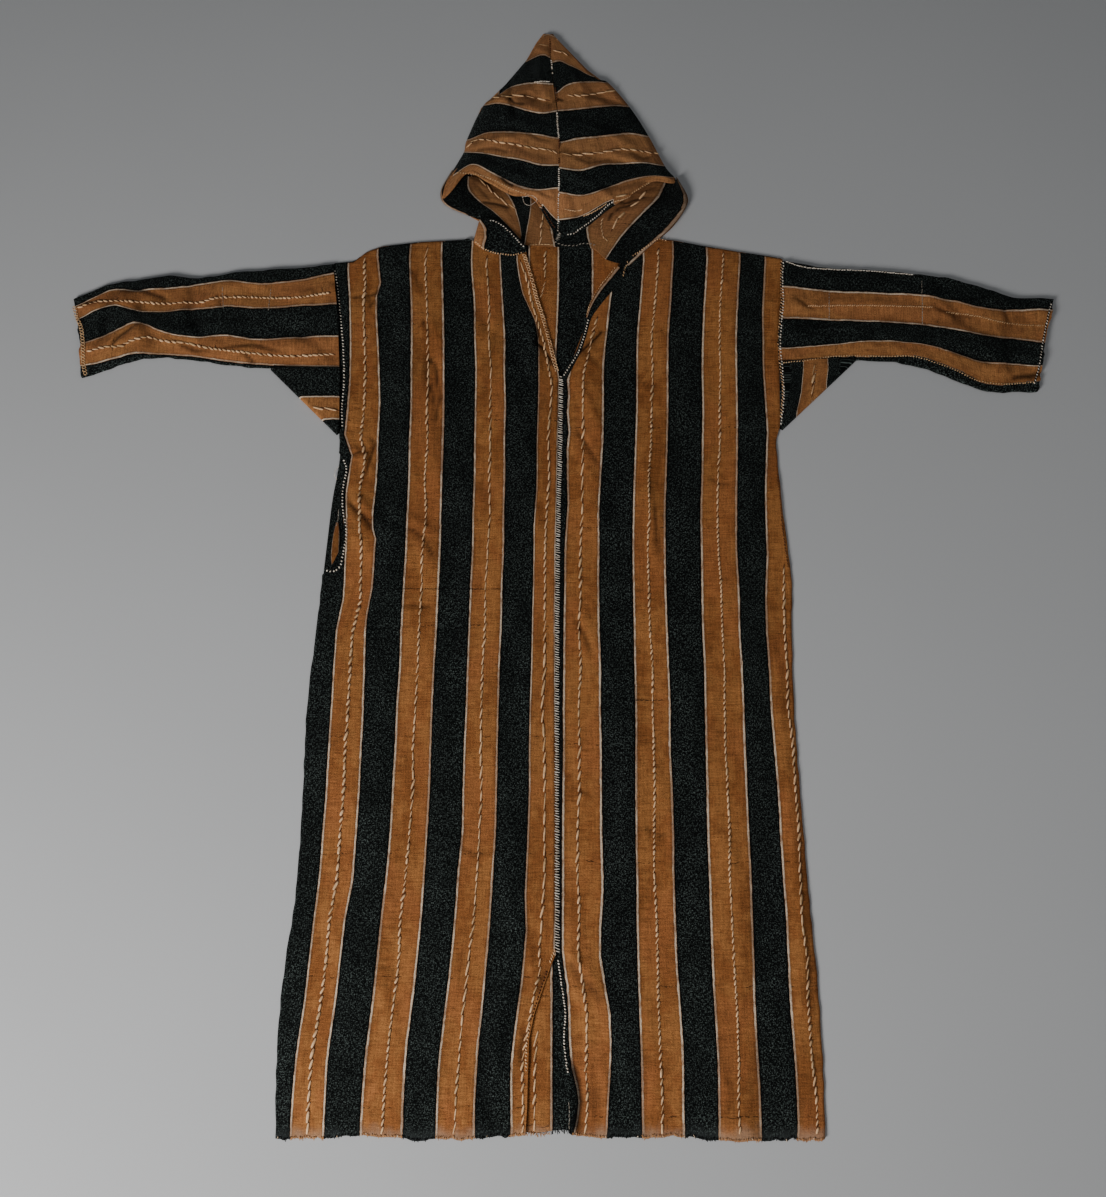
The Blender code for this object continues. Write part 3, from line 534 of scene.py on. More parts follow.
LINES = rows(
    Line,
    ("body", "ess", "white", 3.7, [(-4, 232), (-5.5, 120), (-8.5, 0), (-10.5, -150), (-11, -646)]),
    ("body", "whip", "cream", 4.0, [(-14, -640), (-21, -657)]),
    ("body", "bead", "white", 5.5, [(-377, 423), (-370, 386), (-365, 350), (-360, 314), (-356, 278),
        (-352, 226), (-353, 174), (-351, 143)]),
    ("body", "whip", "cream", 5.4, ARMHOLE_RIGHT),
    ("body", "between", "black", 5.4, ARMHOLE_RIGHT),
    ("body", "dot", "white", 5.4, [(364, 438), (361, 402), (360, 364), (355, 327), (351, 290),
        (352, 246), (352, 200), (345, 150)]),
    ("body", "bead", "white", 5.2, [(-347, 91), (-341, 76), (-344, 51), (-345, 34), (-344, 16),
        (-342, 1), (-337, -21), (-336, -38), (-338, -53), (-340, -68), (-343, -83), (-350, -91),
        (-357, -92), (-364, -91)]),
    ("body", "hair", "grey", 4.0, [(-350, 8), (-350, -8), (-352, -20)]),
    ("body", "hair", "white", 4.0, [(-353, 78), (-358, 72), (-359, 64), (-356, 58)]),
    ("body", "dash", "brown", 5.0, [(334, 67), (337, 23), (338, -26), (341, -61), (344, -89)]),
    ("body", "dot", "brown", 4.4, [(-25, -668), (-38, -704), (-48, -734)]),
    ("body", "dot", "cream", 4.4, [(-49, -738), (-53.5, -769), (-53.5, -800)]),
    ("body", "dot", "white", 4.0, [(-10, -654), (-5, -689), (0, -725), (-2, -758), (3, -799)]),
    ("body", "hair", "grey", 5.0, [(5, -836), (5, -872)]),
    ("body", "loop", "cream", 5.2, [(-66, 454), (-58, 428), (-51, 404), (-45, 376), (-36, 345),
        (-28, 316), (-21, 286), (-11, 242)]),
    ("body", "dot", "white", 5.0, [(0, 232), (10, 250), (24, 274), (34, 305), (41, 334)]),
    ("body", "rope", "cream", 4.2, [(86, 428), (71, 407), (57, 387), (44, 362), (38, 340)]),
    ("body", "dash", "tan", 5.0, [(107, 439), (101, 423), (98, 410)]),
    ("hood", "bead", "white", 4.0, [(-7, 571), (-7, 596), (-7, 616)]),
    ("hood", "bead", "brown", 4.0, [(-7, 620), (-7, 668)]),
    ("hood", "bead", "white", 4.0, [(-7, 674), (-9, 700), (-10, 724)]),
    ("hood", "bead", "brown", 4.2, [(-10, 730), (-13, 762)]),
    ("hood", "dot", "white", 4.2, [(-15, 778), (-18, 806), (-20, 832)]),
    ("hood", "dot", "brown", 4.6, [(-21, 840), (-23, 878)]),
    ("hood", "bead", "white", 4.3, [(-7, 567), (-8, 540), (-8, 512), (-9, 494)]),
    ("hood", "tuft", "grey", 3.2, [(-11, 478), (-8, 485), (-6, 492)]),
    ("hood", "dot", "white", 4.6, [(6, 488), (17, 491), (29, 500), (38, 507), (46, 514), (55, 522),
        (63, 530), (72, 540), (80, 548), (84, 550)]),
    ("hood", "rope", "white", 4.0, [(-50, 786), (-36, 788), (-22, 787)]),
    ("hood", "rope", "cream", 4.4, [(2, 537), (12, 534), (24, 533), (34, 536)]),
    ("hood", "rope", "cream", 4.2, [(34, 523), (48, 530), (61, 538), (72, 546)]),
    ("hood", "rope", "cream", 4.2, [(87, 551), (101, 555), (114, 562)]),
    ("hood", "dot", "tan", 4.2, [(115, 567), (130, 577), (146, 588)]),
    ("hood", "dot", "tan", 4.4, [(-48, 562), (-84, 574), (-112, 590), (-150, 604), (-178, 606)]),
    ("hood", "dot", "brown", 4.4, [(-14, 500), (-23, 517), (-37, 543), (-46, 556)]),
    ("hood", "hair", "white", 4.0, [(-69, 561), (-62, 545), (-56, 544), (-48, 549), (-44, 554),
        (-49, 561), (-60, 562), (-68, 560)]),
    ("hood", "dot", "white", 5.0, [(-124, 515), (-113, 513), (-103, 506), (-92, 496), (-83, 486),
        (-74, 475), (-65, 465)]),
    ("hood", "bead", "cream", 4.3, [(-146, 476), (-134, 464), (-118, 456), (-98, 452), (-81, 451),
        (-68, 455)]),
    ("hood", "dot", "cream", 4.6, [(114, 448), (128, 458), (144, 470), (158, 480), (172, 477)]),
    ("hood", "run", "tan", 5.0, [(-57, 469), (-36, 470), (-17, 469)]),
    ("hood", "dash", "grey", 6.0, [(-15, 476), (-1, 469), (17, 468), (38, 472), (56, 468)]),
    ("body", "hair", "black", 4.2, [(-281, -120), (-98, -120)]),
    ("body", "hair", "black", 4.2, [(105, -290), (149, -290)]),
    ("sleeves", "fine", "cream", 3.6, [(399, 357), (490, 358), (605, 355)]),
    ("sleeves", "fine", "tan", 3.8, [(624, 346), (677, 338), (717, 327), (783, 321)]),
    ("sleeves", "rope", "white", 4.4, [(368, 438), (393, 429), (434, 424), (500, 421), (575, 414)]),
    ("sleeves", "hair", "grey", 5.0, [(436, 380), (433, 332)]),
    ("sleeves", "hair", "grey", 5.0, [(590, 404), (584, 322)]),
    ("sleeves", "hair", "grey", 5.0, [(-560, 392), (-556, 352)]),
    ("sleeves", "hair", "grey", 5.0, [(-480, 388), (-482, 350)]),
    ("sleeves", "dot", "tan", 4.3, [(353, 256), (393, 260), (427, 266), (467, 268), (517, 267),
        (570, 266), (599, 256), (631, 243), (663, 225), (696, 219), (756, 222)]),
    ("sleeves", "dot", "white", 5.2, CUFF_RIGHT),
    ("sleeves", "between", "black", 5.2, CUFF_RIGHT),
    ("sleeves", "loop", "tan", 5.2, [(-800, 358), (-794, 339), (-783, 314), (-778, 289), (-774, 257),
        (-768, 235)]),
)
# How much stitches differ: share of the pitch, sideways, in their turn, and in their size.
PITCH_SPREAD, SIDE_SPREAD, TURN_SPREAD, STITCH_SHARES = 0.07, 0.22, 7.0, (0.82, 1.15)
FRAY_REACH = (-386.0, 347.0) # the frayed hem, from side to side
HEM_SLIT = -20.0             # where the left front ends at the hem

# ---------------------------------------------------------------- stage
Lamp = namedtuple("Lamp", "name place aim size watts")
LAMPS = rows(
    Lamp,
    ("key", (-1.60, -2.05, 1.45), (0.0, -0.2, 0.0), 1.0, 88.0),
    ("fill", (1.4, -0.6, 2.4), (0.0, -0.1, 0.0), 2.2, 9.0),
    ("top", (-0.6, 1.2, 2.2), (0.0, 0.2, 0.0), 1.8, 1.0),
)
SKY, SKY_LIGHT = (0.86, 0.93, 1.0, 1.0), 0.100
FLOOR_SIZE, FLOOR_HEIGHT = 6.0, -0.0003
SENSOR, LENS = 36.0, 32.55   # of the camera, in millimetres


# ---------------------------------------------------------------- settings
def size(name, description, default):
    return bpy.props.FloatProperty(name=name, description=description, default=default, unit="LENGTH")


class DjellabaSizes(bpy.types.PropertyGroup):
    """Sizes that a maker would change."""
    wall: size("Cloth", "Thickness of the woven wool", BACK_TOP * 0.9)
    front_step: size("Front mesh", "Size of one face of the fronts", 0.0034)
    fine_step: size("Fine mesh", "Size of one face of the sleeves and the hood", 0.0034)
    back_step: size("Back mesh", "Size of one face of the back", 0.009)
    thread: size("Thread", "From one thread of the weave to the next", 0.0014)
    line: size("Cream line", "Width of the cream line at the edge of a band", 0.0027)
    fray: size("Fray", "Longest loose thread at the raw hem", 0.007)


def colour(name, description, default):
    return bpy.props.FloatVectorProperty(
        name=name, description=description, default=default, size=4, subtype="COLOR", min=0.0, max=1.0)


class DjellabaColours(bpy.types.PropertyGroup):
    """Colours of the wool, the threads and the floor."""
    ochre: colour("Ochre", "Ochre bands", (0.340, 0.136, 0.040, 1.0))
    ochre_deep: colour("Deep ochre", "Darker patches of the ochre bands", (0.245, 0.086, 0.024, 1.0))
    ochre_red: colour("Red ochre", "Redder patches of the ochre bands", (0.325, 0.112, 0.036, 1.0))
    black: colour("Black", "Black bands", (0.0007, 0.0011, 0.0009, 1.0))
    fleck: colour("Flecks", "Pale fibres in the black bands", (0.105, 0.130, 0.118, 1.0))
    line: colour("Cream line", "Cream lines at the edges of the bands", (0.72, 0.56, 0.41, 1.0))
    cream: colour("Cream", "Cream yarns and stitches", (0.80, 0.51, 0.28, 1.0))
    white: colour("White", "Stitches in undyed wool", (0.85, 0.77, 0.66, 1.0))
    tan: colour("Tan", "Stitches in light wool", (0.62, 0.40, 0.21, 1.0))
    grey: colour("Grey", "Stitches in grey wool", (0.40, 0.36, 0.30, 1.0))
    brown: colour("Brown", "Dark ply of the yarns", (0.110, 0.038, 0.015, 1.0))
    floor: colour("Floor", "Pale floor", (0.46, 0.46, 0.46, 1.0))


# ---------------------------------------------------------------- measuring
def through(keys, values, at):
    """Smooth values at the places `at`, through the values at rising keys."""
    keys, values, at = (np.asarray(item, float) for item in (keys, values, at))
    slopes = np.gradient(values, keys)
    at = np.clip(at, keys[0], keys[-1])
    i = np.clip(np.searchsorted(keys, at, side="right") - 1, 0, len(keys) - 2)
    gap = keys[i + 1] - keys[i]
    f = (at - keys[i]) / gap
    return ((1 + 2 * f) * (1 - f) ** 2 * values[i] + f * (1 - f) ** 2 * gap * slopes[i]
            + f ** 2 * (3 - 2 * f) * values[i + 1] + f ** 2 * (f - 1) * gap * slopes[i + 1])


def column(table, name):
    return np.array([getattr(row, name) for row in table], float)


def read(table, key, name, at):
    """Smooth value of a column of a table where its key column has the value `at`."""
    keys = column(table, key)
    order = np.argsort(keys)
    return through(keys[order], column(table, name)[order], at)


def straight(table, key, name, at):
    """As read, but straight between the rows."""
    keys = column(table, key)
    order = np.argsort(keys)
    return np.interp(at, keys[order], column(table, name)[order])


def stations(values, at):
    """Smooth value at `at` (0 to 1) between even stations; values has one row per station."""
    last = len(values) - 1
    step = unit(at) * last
    i = np.clip(step.astype(int), 0, last - 1)
    f = step - i
    points = [np.take_along_axis(values, np.clip(i + k, 0, last)[None], 0)[0] for k in (-1, 0, 1, 2)]
    before, here, after, beyond = points
    return 0.5 * (2 * here + (after - before) * f + (2 * before - 5 * here + 4 * after - beyond) * f ** 2
                  + (3 * here - before - 3 * after + beyond) * f ** 3)


def track(values, at):
    """Smooth value at `at` (0 to 1) between even stations of one line."""
    return stations(np.outer(values, np.ones_like(at)), at)


def unit(value):
    """The value kept from 0 to 1."""
    return np.clip(value, 0.0, 1.0)


def eased(value, low, high):
    """Smooth share of the way from low to high."""
    share = unit((value - low) / (high - low))
    return share * share * (3.0 - 2.0 * share)


def rounded(share):
    """Height of a quarter round: level at 0 and down at 1."""
    return np.sqrt(unit(1.0 - share ** 2))


def crowded(share, amount):
    """Shares 0 to 1 set closer together at both ends."""
    return share - amount * np.sin(2.0 * np.pi * share) / (2.0 * np.pi)


KNOTS, FIRST_KNOT = 97, 40.0     # width of the net of random heights, and where on it they start


def crumple(seed, x, y, size):
    """Smooth unevenness from -1 to 1 whose bumps are about `size` wide."""
    knots = np.random.default_rng(seed).uniform(-1.0, 1.0, (KNOTS, KNOTS))
    x, y = np.asarray(x) / size + FIRST_KNOT, np.asarray(y) / size + FIRST_KNOT
    i, j = np.floor(x).astype(int), np.floor(y).astype(int)
    f, g = eased(x - i, 0.0, 1.0), eased(y - j, 0.0, 1.0)
    i, j, right, above = i % KNOTS, j % KNOTS, (i + 1) % KNOTS, (j + 1) % KNOTS
    near = knots[i, j] * (1 - f) + knots[right, j] * f
    far = knots[i, above] * (1 - f) + knots[right, above] * f
    return near * (1 - g) + far * g


def waver(seed, at, size):
    """As crumple, along a line."""
    return crumple(seed, at, 0 * at, size)


def relief(folds, x, y, rise=1.0):
    """Height of all the folds at each point: soft ridges and troughs that die away past their ends."""
    total = np.zeros_like(x)
    for fold in folds:
        run_x, run_y = fold.x1 - fold.x0, fold.y1 - fold.y0
        length = np.hypot(run_x, run_y)
        along = ((x - fold.x0) * run_x + (y - fold.y0) * run_y) / length
        across = ((x - fold.x0) * run_y - (y - fold.y0) * run_x) / length
        bow = 0.06 * length * np.sin(np.pi * unit(along / length)) * np.sign(fold.height)
        past = np.maximum(0.0, np.maximum(-along, along - length))
        total += rise * fold.height * np.exp(
            -((across + bow) / fold.width) ** 2 - (past / (2.0 * fold.width)) ** 2)
    return total


def grooves(lines, x, y):
    """Depth from 0 to 1 of the sharp creases, and height of the soft lips beside them."""
    deep, lips = np.zeros_like(x), np.zeros_like(x)
    for line in lines:
        points = np.array(line.places, float)
        gaps = np.hypot(*np.diff(points, axis=0).T)
        near, share, done = np.full_like(x, 1e9), np.zeros_like(x), 0.0
        for start, end, gap in zip(points, points[1:], gaps):
            run = (end - start) / gap
            along = np.clip((x - start[0]) * run[0] + (y - start[1]) * run[1], 0.0, gap)
            away = np.hypot(x - start[0] - along * run[0], y - start[1] - along * run[1])
            share = np.where(away < near, (done + along) / gaps.sum(), share)
            near = np.minimum(near, away)
            done += gap
        fading = line.depth * unit(2.2 * np.sin(np.pi * np.clip(share, 0.04, 0.96)))
        deep = np.maximum(deep, fading * np.exp(-(near / line.width) ** 2))
        lips = np.maximum(lips, fading * np.exp(-((near - 2.4 * line.width) / (1.4 * line.width)) ** 2))
    return deep, lips


def troughs(folds, x, y):
    """Depth from 0 to 1 of the hollow folds among these."""
    hollow = [fold for fold in folds if fold.height < 0.0]
    return np.clip(-relief(hollow, x, y) / 3.2, 0.0, 0.6)


def wandering(stretches, side, count, base, y, fade=50.0):
    """Shift that takes the line x = base(y) through the listed points and back past their ends."""
    shift = np.zeros_like(y)
    for stretch in stretches:
        if stretch.front != side or stretch.line != count:
            continue
        places = np.array(sorted(stretch.places, key=lambda place: place[1]), float)
        keys, away = to_eye(places[:, 0], places[:, 1], FRONT_HEIGHT)[::-1]
        away = away - base(keys)
        keys = np.concatenate([[keys[0] - fade], keys, [keys[-1] + fade]])
        shift = shift + np.interp(y, keys, np.concatenate([[0.0], away, [0.0]]))
    return shift


def band_of(place, edges, first=0):
    """Place counted in bands: straight between the given band edges, and by BAND beyond them."""
    found = first + (place - edges[0]) / BAND
    for count, (low, high) in enumerate(zip(edges, edges[1:])):
        found = np.where(place > low, first + count + (place - low) / (high - low), found)
    return np.where(place > edges[-1], first + len(edges) - 1 + (place - edges[-1]) / BAND, found)


def to_eye(x, y, z):
    """Plan place of a point at height z that the eye sees at (x, y) on the floor."""
    return x + (EYE.x - x) * z / EYE.z, y + (EYE.y - y) * z / EYE.z


# ---------------------------------------------------------------- materials
class Wiring:
    """Adds nodes to a tree and joins them."""

    def __init__(self, tree):
        self.tree = tree

    def node(self, kind, inputs=None, **settings):
        made = self.tree.nodes.new(kind)
        for key, value in settings.items():
            setattr(made, key, value)
        return self.fill(made, inputs or {})

    def fill(self, made, inputs):
        """Joins or sets each input by its name or count."""
        for key, value in inputs.items():
            if isinstance(value, bpy.types.NodeSocket):
                self.tree.links.new(value, made.inputs[key])
            else:
                made.inputs[key].default_value = value
        return made

    def maths(self, operation, a, b=0.0, c=0.0):
        return self.node("ShaderNodeMath", {0: a, 1: b, 2: c}, operation=operation).outputs[0]

    def step(self, value, low, high, start=0.0, end=1.0):
        return self.node(
            "ShaderNodeMapRange",
            {"Value": value, "From Min": low, "From Max": high, "To Min": start, "To Max": end},
            interpolation_type="SMOOTHSTEP").outputs[0]

    def mix(self, share, a, b):
        return self.node("ShaderNodeMix", {0: share, 6: a, 7: b}, data_type="RGBA").outputs[2]

    def noise(self, vector, stretch, detail=2.0, roughness=0.55):
        placed = self.node("ShaderNodeVectorMath", {0: vector, 1: stretch}, operation="MULTIPLY").outputs[0]
        settings = {"Vector": placed, "Scale": 1.0, "Detail": detail, "Roughness": roughness}
        flat = stretch[2] == 0.0
        return self.node("ShaderNodeTexNoise", settings, noise_dimensions="2D" if flat else "3D").outputs[0]


COLOUR_SOCKET, FLOAT_SOCKET = "NodeSocketColor", "NodeSocketFloat"
MIDDLE_GREY = (0.5, 0.5, 0.5, 1.0)
DUSTY_BLACK, DUSTY_OCHRE = (0.034, 0.039, 0.038, 1.0), (0.44, 0.28, 0.18, 1.0)
FULL_TURN = 6.2832


def start_group(name, inputs, outputs):
    tree = bpy.data.node_groups.new(name, "ShaderNodeTree")
    for label, kind, default in inputs:
        tree.interface.new_socket(label, in_out="INPUT", socket_type=kind).default_value = default
    for label, kind in outputs:
        tree.interface.new_socket(label, in_out="OUTPUT", socket_type=kind)
    return tree, Wiring(tree), tree.nodes.new("NodeGroupInput").outputs, tree.nodes.new("NodeGroupOutput")


def weave_group():
    """Ochre and black bands of hand-woven wool with cream lines, from the Weave map."""
    name = "Banded wool"
    if name in bpy.data.node_groups:
        return bpy.data.node_groups[name]
    tints = ("Ochre", "Deep ochre", "Red ochre", "Black", "Flecks", "Cream line")
    tree, wiring, given, out = start_group(
        name,
        [(label, COLOUR_SOCKET, MIDDLE_GREY) for label in tints]
        + [("Line", FLOAT_SOCKET, 2.5), ("Thread", FLOAT_SOCKET, 1.4), ("Fade", FLOAT_SOCKET, 0.0)],
        [("Color", COLOUR_SOCKET), ("Roughness", FLOAT_SOCKET), ("Height", FLOAT_SOCKET)])
    maths, step, mix = wiring.maths, wiring.step, wiring.mix
    times, plus, minus, scale_add = (
        partial(maths, kind) for kind in ("MULTIPLY", "ADD", "SUBTRACT", "MULTIPLY_ADD"))

    def scaled(tint, light):
        return wiring.node("ShaderNodeVectorMath", {0: tint, 3: light}, operation="SCALE").outputs[0]

    def uneven(across_rate, along_rate, detail=2.0, roughness=0.55):
        return wiring.noise(spot, (across_rate, along_rate, 0.0), detail, roughness)

    place = wiring.node("ShaderNodeUVMap", uv_map=WEAVE_MAP).outputs[0]
    crease_shade = wiring.node("ShaderNodeAttribute", attribute_name=CREASE_SHADE_MAP).outputs["Fac"]
    split = wiring.node("ShaderNodeSeparateXYZ", {0: place}).outputs
    across = times(split[0], BAND)
    along = times(split[1], 1000.0)
    spot = wiring.node("ShaderNodeCombineXYZ", {0: across, 1: along, 2: 0.0}).outputs[0]

    shake = uneven(0.35, 0.11, 3.0)
    band = scale_add(minus(shake, 0.5), 0.035, split[0])
    from_middle = maths("PINGPONG", minus(band, 0.5), 1.0)
    is_ochre = step(from_middle, 0.494, 0.506, 1.0, 0.0)
    half = maths("DIVIDE", given["Line"], 2.0 * BAND)
    beside = maths("ABSOLUTE", minus(minus(0.5, from_middle), half))
    from_line = maths("DIVIDE", beside, half)
    line_light = uneven(0.30, 0.060, 3.0)
    edge_light = uneven(0.045, 0.0035, 1.0)
    line_light = times(line_light, step(edge_light, 0.38, 0.54, 0.62, 1.0))
    is_line = times(step(from_line, 0.55, 1.15, 1.0, 0.0), step(line_light, 0.30, 0.56, 0.35, 1.0))

    patch = uneven(0.020, 0.013, 3.0)
    red = uneven(0.011, 0.008)
    mottle = uneven(0.085, 0.055, 3.0)
    weft_slub = uneven(0.050, 0.46)
    warp_slub = uneven(0.42, 0.030)
    grain = uneven(0.45, 0.50, 2.0, 0.7)
    share = plus(times(patch, 0.60), times(mottle, 0.40))
    ochre = mix(step(share, 0.38, 0.60), given["Deep ochre"], given["Ochre"])
    ochre = mix(step(red, 0.48, 0.66, 0.0, 0.6), ochre, given["Red ochre"])
    # painted shade of small wrinkles: patches of the ochre turn deep ochre
    crinkle_shade = step(uneven(0.050, 0.095, 1.5), 0.58, 0.72, 0.0, 0.55)
    ochre = mix(crinkle_shade, ochre, given["Deep ochre"])
    light = plus(times(weft_slub, 0.60), times(warp_slub, 0.40))
    light = plus(light, times(grain, 0.70))
    light = scale_add(minus(light, 0.85), 1.45, 1.0)
    ochre = scaled(ochre, light)
    # single dark weft threads, here and there
    weft = maths("PINGPONG", scale_add(mottle, 9.0, along), 83.0)
    broken = step(uneven(0.045, 0.012, 1.0), 0.46, 0.56)
    dashes = step(uneven(0.22, 0.02, 1.0), 0.40, 0.52)
    thin = times(broken, dashes)
    ochre = mix(times(step(weft, 0.35, 0.9, 0.7, 0.0), thin), ochre, given["Black"])
    # painted shadow: the cream line throws a thin dark edge on the ochre beside it
    ochre = scaled(ochre, step(from_line, 1.0, 3.6, 0.72, 1.0))

    dense = step(uneven(0.022, 0.018), 0.30, 0.70, 0.55, 0.95)
    fleck = step(uneven(0.85, 0.30, 1.0, 0.6), 0.60, 0.76)
    pale_weft = step(uneven(0.26, 0.90, 1.0, 0.6), 0.59, 0.77, 0.0, 0.9)
    pale_line = times(step(weft, 0.4, 1.1, 0.32, 0.0), thin)
    pale = maths("MAXIMUM", times(maths("MAXIMUM", fleck, pale_weft), dense), pale_line)
    black = mix(times(pale, step(from_middle, 0.52, 0.57)), given["Black"], given["Flecks"])

    cream = scaled(given["Cream line"], step(grain, 0.2, 0.8, 0.72, 1.12))
    cloth = mix(is_line, mix(is_ochre, black, ochre), cream)
    dusty = mix(is_ochre, DUSTY_BLACK, DUSTY_OCHRE)
    cloth = mix(given["Fade"], cloth, dusty)
    # painted shade: the cloth is darkened where it lies deep in a crease
    cloth = scaled(cloth, scale_add(crease_shade, -0.86, 1.0))
    wiring.fill(out, {"Color": cloth, "Roughness": step(grain, 0.2, 0.8, 0.96, 0.84)})

    turn = maths("DIVIDE", FULL_TURN, given["Thread"])
    warp = maths("SINE", scale_add(shake, 0.8, times(across, turn)))
    weft_wave = maths("SINE", times(along, turn))
    height = scale_add(times(warp, weft_wave), 0.28, times(grain, 0.9))
    height = scale_add(plus(weft_slub, warp_slub), 0.55, height)
    height = scale_add(is_line, 0.35, height)
    pucker = plus(uneven(0.060, 0.045), uneven(0.020, 0.110))
    wiring.fill(out, {"Height": scale_add(pucker, 1.5, height)})
    return tree


def hem_group():
    """How faded and dusty the cloth is towards its raw hem."""
    name = "Hem fade"
    if name in bpy.data.node_groups:
        return bpy.data.node_groups[name]
    tree, wiring, given, out = start_group(
        name, [("From", FLOAT_SOCKET, 0.0), ("To", FLOAT_SOCKET, 1.0)], [("Fade", FLOAT_SOCKET)])
    place = wiring.node("ShaderNodeTexCoord").outputs["Object"]
    split = wiring.node("ShaderNodeSeparateXYZ", {0: place}).outputs
    ragged = wiring.noise(place, (70.0, 40.0, 70.0), 3.0)
    height = wiring.maths("MULTIPLY_ADD", wiring.maths("SUBTRACT", ragged, 0.5), 0.030, split[1])
    wiring.fill(out, {"Fade": wiring.step(height, given["From"], given["To"], 0.62, 0.0)})
    return tree


def new_material(name):
    material = bpy.data.materials.new(name)
    material.use_nodes = True
    return material, Wiring(material.node_tree), material.node_tree.nodes["Principled BSDF"]


def paler(tint, paling):
    """A wool's colour made paler by a share."""
    return tuple(value + (bleached - value) * paling for value, bleached in zip(tint, PALE_OCHRE))


def wool_cloth(name, faded=False, paling=0.0):
    """Banded wool: one finish each for the body, the sleeves and the hood."""
    if name in bpy.data.materials:
        return bpy.data.materials[name]
    colours, sizes = bpy.context.scene.djellaba_colours, bpy.context.scene.djellaba_sizes
    material, wiring, shader = new_material(name)
    weave = wiring.node("ShaderNodeGroup", node_tree=weave_group())
    wiring.fill(weave, {
        "Ochre": paler(colours.ochre, paling), "Deep ochre": paler(colours.ochre_deep, paling),
        "Red ochre": paler(colours.ochre_red, paling), "Black": colours.black, "Flecks": colours.fleck,
        "Cream line": colours.line, "Line": sizes.line / MM, "Thread": sizes.thread / MM})
    if faded:
        hem = wiring.node("ShaderNodeGroup", node_tree=hem_group())
        wiring.fill(hem, {"From": (HEM - 4.0) * MM, "To": (HEM + 20.0) * MM})
        wiring.fill(weave, {"Fade": hem.outputs["Fade"]})
    bumps = {"Strength": 0.65, "Distance": 0.0012, "Height": weave.outputs["Height"]}
    wiring.fill(shader, {
        "Base Color": weave.outputs["Color"], "Roughness": weave.outputs["Roughness"],
        "Normal": wiring.node("ShaderNodeBump", bumps).outputs["Normal"],
        "Sheen Weight": 0.02, "Sheen Roughness": 0.5, "Specular IOR Level": 0.10})
    return material


def wool_thread(name, tint):
    """Spun wool for yarns and stitches."""
    if name in bpy.data.materials:
        return bpy.data.materials[name]
    material, wiring, shader = new_material(name)
    place = wiring.node("ShaderNodeTexCoord").outputs["Object"]
    uneven = wiring.noise(place, (160.0, 160.0, 160.0), 3.0)
    fibre = wiring.noise(place, (1500.0, 600.0, 1500.0), 2.0)
    dark = (tint[0] * 0.62, tint[1] * 0.56, tint[2] * 0.50, 1.0)
    shade = wiring.mix(wiring.step(uneven, 0.32, 0.62), dark, tuple(tint))
    shade = wiring.mix(wiring.step(fibre, 0.35, 0.6, 0.35, 0.0), shade, dark)
    bump = wiring.node("ShaderNodeBump", {"Strength": 0.5, "Distance": 0.0004, "Height": fibre})
    wiring.fill(shader, {
        "Base Color": shade, "Roughness": wiring.step(fibre, 0.2, 0.8, 0.7, 0.95),
        "Normal": bump.outputs["Normal"], "Specular IOR Level": 0.2})
    return material


# ---------------------------------------------------------------- making cloth
def show(name, mesh, slot, nodes=()):
    """Links a finished mesh and lets it ride on the robe. Its slot is not used."""
    piece = bpy.data.objects.new(name, mesh)
    bpy.context.collection.objects.link(piece)
    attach(piece, "root")
    if nodes:
        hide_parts(*nodes)
    return piece


def cloth(name, slot, material, counts, place, nodes=(), ring=False, wall=None):
    """One wall of cloth over a grid of so many faces across and along.

    place(across, along) gives x, y and z of its outer side in millimetres, its place in bands, its
    run along them in metres and its depth in creases, for arrays from 0 to 1. A ring is joined where
    it starts."""
    wall = wall or bpy.context.scene.djellaba_sizes.wall
    shape = bmesh.new()
    spread = shape.loops.layers.uv.new(WEAVE_MAP)
    bmesh.ops.create_grid(shape, x_segments=counts[0], y_segments=counts[1], size=0.5)
    flat = np.array([vert.co[:2] for vert in shape.verts]) + 0.5
    for face in shape.faces:
        for loop in face.loops:
            loop[spread].uv = (loop.vert.co.x + 0.5, loop.vert.co.y + 0.5)
    spots = np.stack(place(flat[:, 0], flat[:, 1])[:3], 1) * MM
    for vert, spot in zip(shape.verts, spots):
        vert.co = spot
    if ring:
        bmesh.ops.remove_doubles(shape, verts=shape.verts, dist=1e-6)
    bmesh.ops.recalc_face_normals(shape, faces=shape.faces)
    shape.normal_update()
    highest = sum(face.normal.z * (face.calc_center_median().z if ring else 1.0) for face in shape.faces)
    if highest < 0.0:
        bmesh.ops.reverse_faces(shape, faces=shape.faces)
        shape.normal_update()
    rank = shape.verts.layers.int.new("rank")
    side = shape.faces.layers.int.new("side")
    inner = []
    for count, vert in enumerate(shape.verts):
        vert[rank] = count
        inner.append(vert.co - vert.normal * wall)
        inner[-1].z = max(inner[-1].z, LOWEST)
    made = bmesh.ops.extrude_face_region(shape, geom=list(shape.faces))["geom"]
    for item in made:
        if isinstance(item, bmesh.types.BMVert):
            item.co = inner[item[rank]]
        elif isinstance(item, bmesh.types.BMFace):
            item[side] = 1
    bmesh.ops.recalc_face_normals(shape, faces=shape.faces)
    mesh = bpy.data.meshes.new(name)
    shape.to_mesh(mesh)
    shape.free()
    lay_maps(mesh, place)
    mesh.materials.append(material)
    mesh.shade_smooth()
    mesh.set_sharp_from_angle(angle=1.0)
    return show(name, mesh, slot, nodes)


